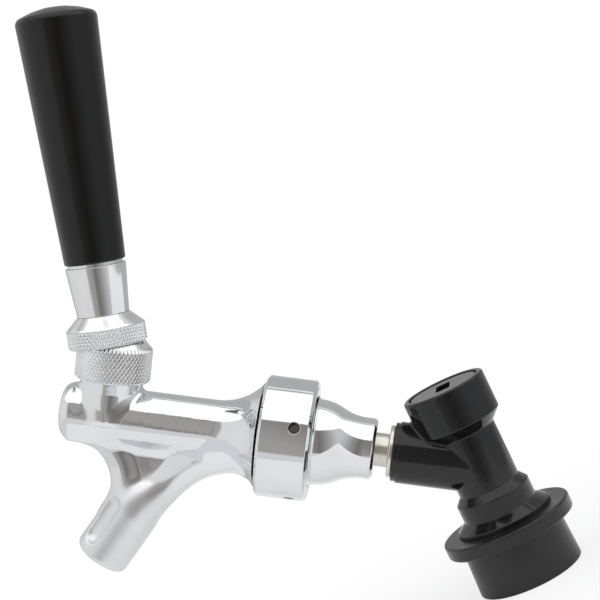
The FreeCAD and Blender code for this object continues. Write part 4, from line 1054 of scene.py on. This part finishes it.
def make_locking_sleeve():
    return turned(rounded(
        (SLEEVE_MOUTH_R, 0, 0.25), (SLEEVE_FOOT_R, 0, 0.5), (SLEEVE_NECK_R, SLEEVE_FLANGE_Z, 0.4),
        (SLEEVE_FLANGE_R, SLEEVE_FLANGE_Z, 0.7), (SLEEVE_FLANGE_R, SLEEVE_TOP_Z, 0.8),
        (SLEEVE_BORE_R, SLEEVE_TOP_Z, 0.3), (SLEEVE_BORE_R, SLEEVE_GUIDE_Z[1]),
        (SLEEVE_GUIDE_R, SLEEVE_GUIDE_Z[1]), (SLEEVE_GUIDE_R, SLEEVE_GUIDE_Z[0]),
    ))


# Stud, shank adapter and coupling nut, turned about the faucet's axis

STUD_BORE_R = 2.2
STUD_REAR = 14.8
STUD_CHAMFER = 1.0
STUD_FLANGE_R = 8.15
STUD_FLANGE_FRONT = 28.3
STUD_THREAD_R = 5.3
STUD_FLARE_REAR = 40.45
STUD_FRONT = 43.05
STUD_FRONT_R = 3.0


def make_stud():
    return turned(rounded(
        (STUD_BORE_R, STUD_REAR), (ARM_BORE_R - STUD_CHAMFER, STUD_REAR),
        (ARM_BORE_R, STUD_REAR + STUD_CHAMFER), (ARM_BORE_R, ARM_END),
        (STUD_FLANGE_R, ARM_END, 0.4), (STUD_FLANGE_R, STUD_FLANGE_FRONT, 0.5),
        (STUD_THREAD_R, STUD_FLANGE_FRONT, 0.3), (STUD_THREAD_R, STUD_FLARE_REAR),
        (STUD_FRONT_R, STUD_FRONT), (STUD_BORE_R, STUD_FRONT),
    ))


ADAPTER_REAR = 32.45
ADAPTER_FRONT = 59.75
ADAPTER_REAR_R = 9.6
ADAPTER_CHAMFER = 0.9
ADAPTER_STRAIGHT = 3.5
ADAPTER_FLARE_R = 13.5
ADAPTER_THREAD_R = 14.3
ADAPTER_THREAD_REAR = 51.15
ADAPTER_THREAD_EDGE = 0.6
ADAPTER_BORE_R = 6.6
ADAPTER_BORE_REAR = 46.25
ADAPTER_HOLE_R = 2.8
ADAPTER_HOLE_REAR = 44.25
THREAD_PITCH = 1.41
THREAD_DEPTH = 0.75
THREAD_STEEP = 2.6
THREAD_ROW = THREAD_PITCH / 8


def adapter_thread(angle, radius, height):
    """The adapter's thread, cut between its two chamfers."""
    if radius < ADAPTER_THREAD_R - SAME_PLACE:
        return np.zeros(len(angle))
    turn = (height / THREAD_PITCH - angle / (2 * math.pi)) % 1.0
    return -THREAD_DEPTH * np.clip(THREAD_STEEP * (0.5 - np.abs(turn - 0.5)), 0, 1)


def make_adapter():
    root = ADAPTER_THREAD_R - ADAPTER_THREAD_EDGE
    low, high = ADAPTER_THREAD_REAR + ADAPTER_THREAD_EDGE, ADAPTER_FRONT - ADAPTER_THREAD_EDGE
    outline = rounded(
        (STUD_THREAD_R, ADAPTER_REAR), (ADAPTER_REAR_R - ADAPTER_CHAMFER, ADAPTER_REAR, 0.25),
        (ADAPTER_REAR_R, ADAPTER_REAR + ADAPTER_CHAMFER, 0.5),
        *ogee((ADAPTER_REAR_R, ADAPTER_REAR + ADAPTER_STRAIGHT),
              (ADAPTER_FLARE_R, ADAPTER_THREAD_REAR)),
        (root, ADAPTER_THREAD_REAR),
        *ladder((ADAPTER_THREAD_R, low), (ADAPTER_THREAD_R, high), THREAD_ROW),
        (root, ADAPTER_FRONT), (ADAPTER_BORE_R, ADAPTER_FRONT),
        (ADAPTER_BORE_R, ADAPTER_BORE_REAR), (ADAPTER_HOLE_R, ADAPTER_BORE_REAR),
        (ADAPTER_HOLE_R, ADAPTER_HOLE_REAR), (STUD_THREAD_R, ADAPTER_HOLE_REAR),
    )
    return turned(outline, adapter_thread)


NUT_REAR = 52.05
NUT_FRONT = 68.35
NUT_R = 19.05
NUT_CHAMFER = 0.8
NUT_FACE_R = NUT_R - 2.1
NUT_STEP_R = NUT_R - 1.75
NUT_STEP = 0.25
NUT_SIDE_REAR = NUT_REAR + 1.0
NUT_BORE_R = 14.35
NUT_LIP_R = 12.55
NUT_LIP_REAR = 64.05
NUT_HOLES = 4
NUT_HOLE_TURN = math.radians(112)
NUT_HOLE_ALONG = 57.25
NUT_HOLE_R = 1.8
NUT_HOLE_EDGE = 0.22
NUT_HOLE_DEEP = 3.0
NUT_HOLE_POINT = 0.5
NUT_PATCH_CELLS = 4
NUT_PATCH_RINGS = 6
NUT_EDGE_RINGS = 5
NUT_SIDE_SLACK = 0.01


def make_nut():
    """The nut, with its plain outside left open round each spanner hole for a patch."""
    column = 2 * math.pi / TURN_STEPS
    apart = 2 * math.pi / NUT_HOLES
    half = NUT_PATCH_CELLS * column * NUT_R
    low, high = NUT_HOLE_ALONG - half, NUT_HOLE_ALONG + half
    outline = rounded(
        (NUT_BORE_R, NUT_REAR, 0.3), (NUT_FACE_R, NUT_REAR, 0.15),
        (NUT_STEP_R, NUT_REAR + NUT_STEP, 0.15), (NUT_R - NUT_CHAMFER, NUT_REAR + NUT_STEP, 0.3),
        (NUT_R, NUT_SIDE_REAR, 0.4), *ladder((NUT_R, low), (NUT_R, high), column * NUT_R),
        (NUT_R, NUT_FRONT - NUT_CHAMFER, 0.4), (NUT_R - NUT_CHAMFER, NUT_FRONT, 0.3),
        (NUT_LIP_R, NUT_FRONT), (NUT_LIP_R, NUT_LIP_REAR), (NUT_BORE_R, NUT_LIP_REAR),
    )

    def solid_wall(turn, radius, height):
        if radius < NUT_R - NUT_SIDE_SLACK or abs(height - NUT_HOLE_ALONG) > half:
            return True
        off = (turn - NUT_HOLE_TURN + apart / 2) % apart - apart / 2
        return abs(off * NUT_R) > half

    parts = [turned(outline, phase=NUT_HOLE_TURN % column, keep=solid_wall)]
    for number in range(NUT_HOLES):
        parts.append(nut_hole(NUT_HOLE_TURN + number * apart, half))
    return joined(*parts)


def nut_hole(turn, half):
    """The patch of the nut's outside round a spanner hole, with the hole's edge, wall and floor."""
    count = 8 * NUT_PATCH_CELLS
    way = 2 * math.pi * np.arange(count) / count + math.pi / 4
    cells = 2 * NUT_PATCH_CELLS
    side = np.concatenate([np.linspace(1, -1, cells, False), np.full(cells, -1.0),
                           np.linspace(-1, 1, cells, False), np.full(cells, 1.0)])
    square = half * np.column_stack((side, np.roll(side, cells)))
    lip = NUT_HOLE_R + NUT_HOLE_EDGE
    circle = np.column_stack((NUT_R * np.arcsin(lip * np.cos(way) / NUT_R), lip * np.sin(way)))
    across = np.array((-math.sin(turn), math.cos(turn), 0))
    outward = np.array((math.cos(turn), math.sin(turn), 0))
    axis = np.array((0, 0, 1.0))
    middle = axis * NUT_HOLE_ALONG
    rings = []
    for share in np.linspace(0, 1, NUT_PATCH_RINGS):
        flat = square * (1 - share) + circle * share
        bend = flat[:, :1] / NUT_R
        normal = outward * np.cos(bend) + across * np.sin(bend)
        rings.append((normal * NUT_R + axis * flat[:, 1:] + middle, normal, normal))
    spoke = across * np.cos(way)[:, None] + axis * np.sin(way)[:, None]
    lift = np.sqrt(NUT_R ** 2 - (lip * np.cos(way)) ** 2)[:, None]
    for share in np.linspace(0, 1, NUT_EDGE_RINGS)[1:]:
        bend = share * math.pi / 2
        radius = NUT_HOLE_R + NUT_HOLE_EDGE * (1 - math.sin(bend))
        ring = spoke * radius + outward * (lift - NUT_HOLE_EDGE * (1 - math.cos(bend))) + middle
        normal = outward * math.cos(bend) - spoke * math.sin(bend)
        rings.append((ring, normal, normal))
    floor = spoke * NUT_HOLE_R + outward * (NUT_R - NUT_HOLE_DEEP) + middle
    up = np.broadcast_to(outward, floor.shape)
    rings.append((floor, -spoke, up))
    point = outward * (NUT_R - NUT_HOLE_DEEP - NUT_HOLE_POINT) + middle
    rings.append((np.broadcast_to(point, floor.shape), up, up))
    return lofted(rings)


# Faucet body, one casting in the faucet frame

BODY_REAR = 61.25
BODY_SHOULDER = 69.15
BODY_FRONT = 132.45
BODY_BARREL_R = 9.1
BODY_FRONT_EDGE = 3.6
BODY_REAR_EDGE = 0.3
PILOT_BURY = 1.0
PILOT_R = 12.5
FLARE_R = 16.6
FLARE_SWEEP_R = 18.0
BOSS_ROOT_R = 9.0
BOSS_TOP_R = 9.9
BONNET_BOTTOM_H = 11.75
NECK_R = 9.6
NECK_TOP_H = 18.0
SPOUT_LEAN = math.radians(28.5)
SPOUT_DIR = np.array((math.sin(SPOUT_LEAN), 0, -math.cos(SPOUT_LEAN)))
SPOUT_SIDE = np.array((math.cos(SPOUT_LEAN), 0, math.sin(SPOUT_LEAN)))
SPOUT_TIP = np.array((115.85, 0, -46.4))
SPOUT_STRAIGHT = 18.5
SPOUT_R = 8.85
SPOUT_LIP = 1.9
OUTLET_R = 4.9
OUTLET_DEPTH = 12.0
PASSAGE_R = 7.6
PASSAGE_DROP = 5.3
PASSAGE_START = 1.9
PASSAGE_LEAD_IN = 20.0
PASSAGE_LEAD_OUT = 14.0
PASSAGE_SLIM = 2.6
VENT_R = 5.2
VENT_BEND_R = 14.0
VENT_BURY = 0.3
WEB_HALF = 4.0
WEB_TOP_H = -3.0
FLUTE_CUTTER_R = 4.6
FLUTE_DEPTH = 1.9
FLUTE_LONG = 17.8
FLUTE_FROM_TIP = 12.6
FLUTE_TURN = math.radians(42)
SPOUT_TOP = SPOUT_TIP - SPOUT_DIR * SPOUT_STRAIGHT
PASSAGE_POINTS = 129
PASSAGE_DEGREE = 9
PASSAGE_TRIES = 9
PASSAGE_ROUNDS = 5
PASSAGE_LEAST = 0.3
WEB_SHARES = (0.95, 0.7, 0.5, 0.3)
BODY_CELL = 0.4
BODY_MARGIN = 1.0
BODY_MARGIN_BELOW = 6.0

# Fillets in the casting's creases, and the rounding of its cut edges
VENT_FILLET = 2.0
WEB_FILLET = 1.5
BARREL_FILLET = 3.0
BOSS_FILLET = 2.0
FLUTE_EDGE = 0.35
OUTLET_EDGE = 0.5


def passage_line():
    """The passage arm's (s, h) and radius, as curves of the share from barrel to spout.

    The arm is slimmer on its way, on the side of the web, as if the web were let into it.
    """
    start = np.array((BODY_SHOULDER + PASSAGE_START, 0, -PASSAGE_DROP))
    poles = (start, start + (PASSAGE_LEAD_IN, 0, 0),
             SPOUT_TOP - SPOUT_DIR * PASSAGE_LEAD_OUT, SPOUT_TOP)
    share = np.linspace(0, 1, PASSAGE_POINTS)[:, None]
    left = 1 - share
    weights = (left ** 3, 3 * share * left ** 2, 3 * share ** 2 * left, share ** 3)
    line = sum(weight * pole for weight, pole in zip(weights, poles))
    run = np.gradient(line, axis=0)
    outward = np.column_stack((run[:, 2], -run[:, 0]))
    outward /= np.linalg.norm(run, axis=1, keepdims=True)
    slim = PASSAGE_SLIM * np.sin(math.pi * share ** 1.5) ** 2
    radius = PASSAGE_R + (SPOUT_R - PASSAGE_R) * share ** 2 * (3 - 2 * share) - slim
    rows = np.column_stack((line[:, [0, 2]] + outward * slim, radius))
    return [np.polynomial.Polynomial.fit(share[:, 0], row, PASSAGE_DEGREE) for row in rows.T]


PASSAGE_S, PASSAGE_H, PASSAGE_RADIUS = passage_line()
VENT_MEAN_R = VENT_BEND_R + VENT_R
VENT_H = VENT_BURY - BODY_BARREL_R - VENT_BEND_R
VENT_OUT = VENT_BEND_R + SPOUT_R - VENT_BURY - (VENT_H - SPOUT_TIP[2]) * SPOUT_SIDE[2]
VENT_S = SPOUT_TIP[0] + VENT_OUT / SPOUT_SIDE[0]


def barrel_field(s, y, h):
    """The turned barrel: its rounded front, the flare at its rear and the pilot in the nut."""
    ring = np.hypot(y, h)
    drop = FLARE_R - BODY_BARREL_R
    flare_end = BODY_SHOULDER + math.sqrt(FLARE_SWEEP_R ** 2 - (FLARE_SWEEP_R - drop) ** 2)
    along = s - (BODY_FRONT - BODY_FRONT_EDGE)
    across = ring - (BODY_BARREL_R - BODY_FRONT_EDGE)
    tube = round_corner(along, across) - BODY_FRONT_EDGE
    sweep = FLARE_SWEEP_R - np.hypot(s - flare_end, ring - BODY_BARREL_R - FLARE_SWEEP_R)
    sweep = np.maximum(sweep, ring - FLARE_R)
    rim = round_corner(sweep + BODY_REAR_EDGE, BODY_SHOULDER - s + BODY_REAR_EDGE) - BODY_REAR_EDGE
    barrel = np.where(s > flare_end, tube, rim)
    pilot = np.maximum(np.maximum(ring - PILOT_R, BODY_REAR - s), s - BODY_SHOULDER - PILOT_BURY)
    return np.minimum(barrel, pilot)


def passage_field(points):
    """The arm that carries the beer passage down to the spout."""
    s, y, h = points.T
    tries = np.linspace(0, 1, PASSAGE_TRIES)
    apart = [(s - PASSAGE_S(share)) ** 2 + (h - PASSAGE_H(share)) ** 2 for share in tries]
    share = tries[np.argmin(apart, axis=0)]
    for _ in range(PASSAGE_ROUNDS):
        run_s, run_h = PASSAGE_S.deriv()(share), PASSAGE_H.deriv()(share)
        off_s, off_h = s - PASSAGE_S(share), h - PASSAGE_H(share)
        pull = off_s * run_s + off_h * run_h
        length = run_s ** 2 + run_h ** 2
        bend = off_s * PASSAGE_S.deriv(2)(share) + off_h * PASSAGE_H.deriv(2)(share)
        share = share + pull / np.maximum(length - bend, PASSAGE_LEAST * length)
        share = np.clip(share, 0, 1)
    off_s, off_h = s - PASSAGE_S(share), h - PASSAGE_H(share)
    return np.sqrt(off_s ** 2 + y ** 2 + off_h ** 2) - PASSAGE_RADIUS(share)


def spout_frame(points):
    """How far points stand down the spout past its tip, out towards its front, and off its axis."""
    away = points - SPOUT_TIP
    down, front = away @ SPOUT_DIR, away @ SPOUT_SIDE
    return down, front, np.hypot(front, points[:, 1])


def spout_field(points):
    """The straight spout with its rounded lip."""
    down, _, ring = spout_frame(points)
    lip = round_corner(down + SPOUT_LIP, ring - SPOUT_R + SPOUT_LIP) - SPOUT_LIP
    return np.maximum(lip, -SPOUT_STRAIGHT - down)


def vent_field(s, y, h):
    """The vent arm, bent from the barrel's underside round to the spout's front."""
    turn = np.arctan2(h - VENT_H, s - VENT_S) % (2 * math.pi)
    turn = np.where(turn < math.pi / 4, math.pi / 2, turn)
    turn = np.clip(turn, math.pi / 2, math.pi + SPOUT_LEAN)
    tube = np.sqrt((s - VENT_S - VENT_MEAN_R * np.cos(turn)) ** 2 + y ** 2
                   + (h - VENT_H - VENT_MEAN_R * np.sin(turn)) ** 2) - VENT_R
    return np.maximum(tube, s - VENT_S)


def web_field(s, y, h):
    """The plate that joins barrel, passage arm and vent arm."""
    end = math.pi + SPOUT_LEAN
    vent_end = (VENT_S + VENT_MEAN_R * math.cos(end), VENT_H + VENT_MEAN_R * math.sin(end))
    corners = ((BODY_SHOULDER + PASSAGE_LEAD_IN, WEB_TOP_H), (VENT_S, WEB_TOP_H), vent_end,
               *((PASSAGE_S(share), PASSAGE_H(share)) for share in WEB_SHARES))
    plate = VENT_MEAN_R - np.hypot(s - VENT_S, h - VENT_H)
    for (s0, h0), (s1, h1) in zip(corners, corners[1:] + corners[:1]):
        length = math.hypot(s1 - s0, h1 - h0)
        plate = np.maximum(plate, ((s - s0) * (h0 - h1) + (h - h0) * (s1 - s0)) / length)
    return np.maximum(plate, np.abs(y) - WEB_HALF)


def flute_field(points):
    """The long scoops on both sides of the spout's front."""
    down, front, _ = spout_frame(points)
    out = SPOUT_R - FLUTE_DEPTH + FLUTE_CUTTER_R
    half = FLUTE_LONG / 2 - math.sqrt(FLUTE_CUTTER_R ** 2 - (out - SPOUT_R) ** 2)
    past = np.maximum(np.abs(down + FLUTE_FROM_TIP) - half, 0)
    off_front = front - out * math.sin(FLUTE_TURN)
    off_side = np.abs(points[:, 1]) - out * math.cos(FLUTE_TURN)
    return np.sqrt(past ** 2 + off_front ** 2 + off_side ** 2) - FLUTE_CUTTER_R


def boss_field(s, y, h):
    """The boss, a cone that widens up to the bonnet."""
    ring = np.hypot(s - BOSS_S, y)
    side = ring - BOSS_ROOT_R - (BOSS_TOP_R - BOSS_ROOT_R) * h / BONNET_BOTTOM_H
    return np.maximum(np.maximum(side, h - BONNET_BOTTOM_H), -h)


def neck_field(s, y, h):
    """The boss's neck in the bonnet."""
    ring = np.hypot(s - BOSS_S, y)
    return np.maximum(np.maximum(ring - NECK_R, h - NECK_TOP_H), -h)


def outlet_field(points):
    """The bore in the spout's end."""
    down, _, ring = spout_frame(points)
    return np.maximum(ring - OUTLET_R, -OUTLET_DEPTH - down)


def body_field(points):
    """The whole casting."""
    s, y, h = points.T
    spout = np.minimum(passage_field(points), spout_field(points))
    limbs = join_round(spout, vent_field(s, y, h), VENT_FILLET)
    limbs = join_round(limbs, web_field(s, y, h), WEB_FILLET)
    body = join_round(barrel_field(s, y, h), limbs, BARREL_FILLET)
    body = join_round(body, boss_field(s, y, h), BOSS_FILLET)
    body = np.minimum(body, neck_field(s, y, h))
    body = cut_round(body, flute_field(points), FLUTE_EDGE)
    return cut_round(body, outlet_field(points), OUTLET_EDGE)


def make_faucet_body():
    reach = FLARE_R + BODY_MARGIN
    low = (BODY_REAR - BODY_MARGIN, -reach, SPOUT_TIP[2] - BODY_MARGIN_BELOW)
    high = (BODY_FRONT + BODY_MARGIN, reach, NECK_TOP_H + BODY_MARGIN)
    return skin(body_field, low, high, BODY_CELL)


# Bonnet, collar, ferrule and handle

KNURLS = 56
KNURL_RISE = 2.1
KNURL_LAND = 0.2
GRIP_STEPS = 8 * KNURLS
GRIP_ROW = 0.16
BONNET_R = 12.0
BONNET_GRIP = (12.4, 22.0)
BONNET_TOP_R = 9.8
SHOULDER_R = math.hypot(BONNET_R, BONNET_GRIP[1] - LEVER_BALL_H)
BONNET_TOP_H = LEVER_BALL_H + math.sqrt(SHOULDER_R ** 2 - BONNET_TOP_R ** 2)
BONNET_BORE_R = 9.65
BONNET_SKIRT = 0.65
BONNET_CEILING_H = 18.9
BONNET_HOLE_R = (6.0, 7.5)
BONNET_KNURLS = (0.22, 0.5)
COLLAR_GRIP_R = 12.5
COLLAR_GRIP = (9.1, 14.8)
COLLAR_CHAMFER = 0.35
COLLAR_GROOVE_R = 12.2
COLLAR_GROOVE_L = 14.92
COLLAR_SKIRT_R = 11.71
COLLAR_CONE = (11.7, 15.55)
COLLAR_HOLLOW_L = (11.6, 13.6)
COLLAR_HOLLOW_R = 7.6
COLLAR_KNURLS = (0.42, 0.42)
LEVER_THREAD_R = 4.76
LEVER_TOP_L = 31.9
FERRULE_BOTTOM_R = 8.25
FERRULE_BOTTOM_L = 18.75
FERRULE_TOP_L = 34.4
FERRULE_LIP_R = 8.7
SPIGOT_R = 6.5
SPIGOT_TOP_L = 40.4
BOLT_R = 3.95
BOLT_HOLE_L = (54.0, 58.0)
HANDLE_BOTTOM_L = 35.4
HANDLE_TOP_L = 115.4
HANDLE_BOTTOM_R = 9.65
HANDLE_TOP_R = 12.8
HANDLE_RIM_R = 2.4
HANDLE_CROWN = 2.2


def groove(turn):
    """The depth of a row of V grooves with narrow lands, from 0 on a land to 1 in a groove."""
    return np.clip((1 - 2 * np.abs(turn % 1.0 - 0.5)) * (1 + KNURL_LAND) - KNURL_LAND, 0, 1)


def knurl(radius, left, right):
    """A relief of crossed knurls cut into a cylinder, each way with its own depth."""
    def relief(angle, here, height):
        one = KNURLS * angle / (2 * math.pi) + height / KNURL_RISE
        other = KNURLS * angle / (2 * math.pi) - height / KNURL_RISE
        floor = radius - np.maximum(left * groove(one), right * groove(other))
        return np.minimum(floor - here, 0)
    return relief


def make_bonnet():
    skirt_r = BONNET_R - BONNET_SKIRT
    low, high = BONNET_GRIP
    shoulder = arc((0, LEVER_BALL_H), (BONNET_R, high), (BONNET_TOP_R, BONNET_TOP_H))
    outline = rounded(
        (BONNET_BORE_R, BONNET_BOTTOM_H), (skirt_r, BONNET_BOTTOM_H, 0.1),
        *ladder((skirt_r, BONNET_BOTTOM_H), (BONNET_R, low), GRIP_ROW)[1:],
        *ladder((BONNET_R, low), (BONNET_R, high), GRIP_ROW), *shoulder,
        (BONNET_HOLE_R[1], BONNET_TOP_H), (BONNET_HOLE_R[0], BONNET_CEILING_H),
        (BONNET_BORE_R, BONNET_CEILING_H),
    )
    return turned(outline, knurl(BONNET_R, *BONNET_KNURLS), GRIP_STEPS)


def make_collar():
    low, high = COLLAR_GRIP
    outline = rounded(
        (COLLAR_SKIRT_R, low), (COLLAR_GRIP_R - COLLAR_CHAMFER, low),
        *ladder((COLLAR_GRIP_R, low + COLLAR_CHAMFER), (COLLAR_GRIP_R, high), GRIP_ROW),
        *ladder((COLLAR_GROOVE_R, COLLAR_GROOVE_L), COLLAR_CONE, GRIP_ROW),
        (FERRULE_BOTTOM_R, FERRULE_BOTTOM_L, 0.25), (LEVER_THREAD_R, FERRULE_BOTTOM_L),
        (LEVER_THREAD_R, COLLAR_HOLLOW_L[1]), (COLLAR_HOLLOW_R, COLLAR_HOLLOW_L[1]),
        (COLLAR_SKIRT_R, COLLAR_HOLLOW_L[0]),
    )
    return turned(outline, knurl(COLLAR_GRIP_R, *COLLAR_KNURLS), GRIP_STEPS)


def make_ferrule():
    return turned(rounded(
        (LEVER_THREAD_R, FERRULE_BOTTOM_L), (FERRULE_BOTTOM_R, FERRULE_BOTTOM_L, 0.3),
        (HANDLE_BOTTOM_R, FERRULE_TOP_L, 0.3), (FERRULE_LIP_R, FERRULE_TOP_L),
        (FERRULE_LIP_R, HANDLE_BOTTOM_L), (SPIGOT_R, HANDLE_BOTTOM_L), (SPIGOT_R, SPIGOT_TOP_L),
        (BOLT_R, SPIGOT_TOP_L), (BOLT_R, LEVER_TOP_L), (LEVER_THREAD_R, LEVER_TOP_L),
    ))


def make_handle():
    """The tapered handle, with a rounded rim that runs on into a low crown."""
    rim = (HANDLE_TOP_R - HANDLE_RIM_R, HANDLE_TOP_L - HANDLE_CROWN - HANDLE_RIM_R)
    fall = HANDLE_TOP_L - rim[1]
    crown_r = (rim[0] ** 2 + fall ** 2 - HANDLE_RIM_R ** 2) / (2 * (fall - HANDLE_RIM_R))
    crown = (0, HANDLE_TOP_L - crown_r)
    way = unit(np.subtract(rim, crown))
    meet = np.add(rim, way * HANDLE_RIM_R)
    return turned(rounded(
        (SPIGOT_R, HANDLE_BOTTOM_L), (HANDLE_BOTTOM_R, HANDLE_BOTTOM_L, 0.6),
        *arc(rim, (HANDLE_TOP_R, rim[1]), meet), *arc(crown, meet, (0, HANDLE_TOP_L)),
        (0, BOLT_HOLE_L[1]), (BOLT_R, BOLT_HOLE_L[0]), (BOLT_R, SPIGOT_TOP_L),
        (SPIGOT_R, SPIGOT_TOP_L),
    ))


# Shaped pieces: name, maker, place, body, replaced nodes, slot, and a finish of its own if any

CAST = make_chrome("cast_chrome", wave_size=0.011, wave_depth=0.000040, spout_haze=0.36)
KNURLED = make_knurled_chrome()
PIECES = (
    ("disconnect_shell", make_disconnect_shell, POST, "housing", ["disconnect_body"],
     "disconnect_black", None),
    ("disconnect_arm", make_disconnect_arm, POST, "housing", [], "disconnect_black", None),
    ("slotted_cap", make_disconnect_cap, POST, "housing", ["disconnect_cap"],
     "disconnect_black", None),
    ("grip_sleeve", make_locking_sleeve, POST, "sleeve", ["locking_sleeve"], "sleeve_black", None),
    ("flare_stud", make_stud, AXIS, "housing", ["disconnect_stud"], "stainless", None),
    ("adapter", make_adapter, AXIS, "housing", ["shank_adapter"], "chrome", None),
    ("spanner_nut", make_nut, AXIS, "housing", ["coupling_nut"], "chrome", None),
    ("faucet_casting", make_faucet_body, FAUCET, "housing", ["faucet_body"], "chrome", CAST),
    ("knurled_bonnet", make_bonnet, BOSS, "housing", ["bonnet"], "chrome", KNURLED),
    ("knurled_collar", make_collar, LEVER, "lever", ["lever_collar"], "chrome", KNURLED),
    ("ferrule", make_ferrule, LEVER, "lever", ["handle_ferrule"], "chrome", None),
    ("handle", make_handle, LEVER, "lever", ["tap_handle"], "handle_black", None),
)

dress_nodes()
for name, make, place, body, replaced, slot, own in PIECES:
    mesh_piece(name, make(), place, body, replaced, own or FINISHES[slot])

make_camera()
make_world()
make_floor()
for lamp in LAMPS:
    make_lamp(*lamp)

bpy.context.scene.view_settings.view_transform = "Standard"
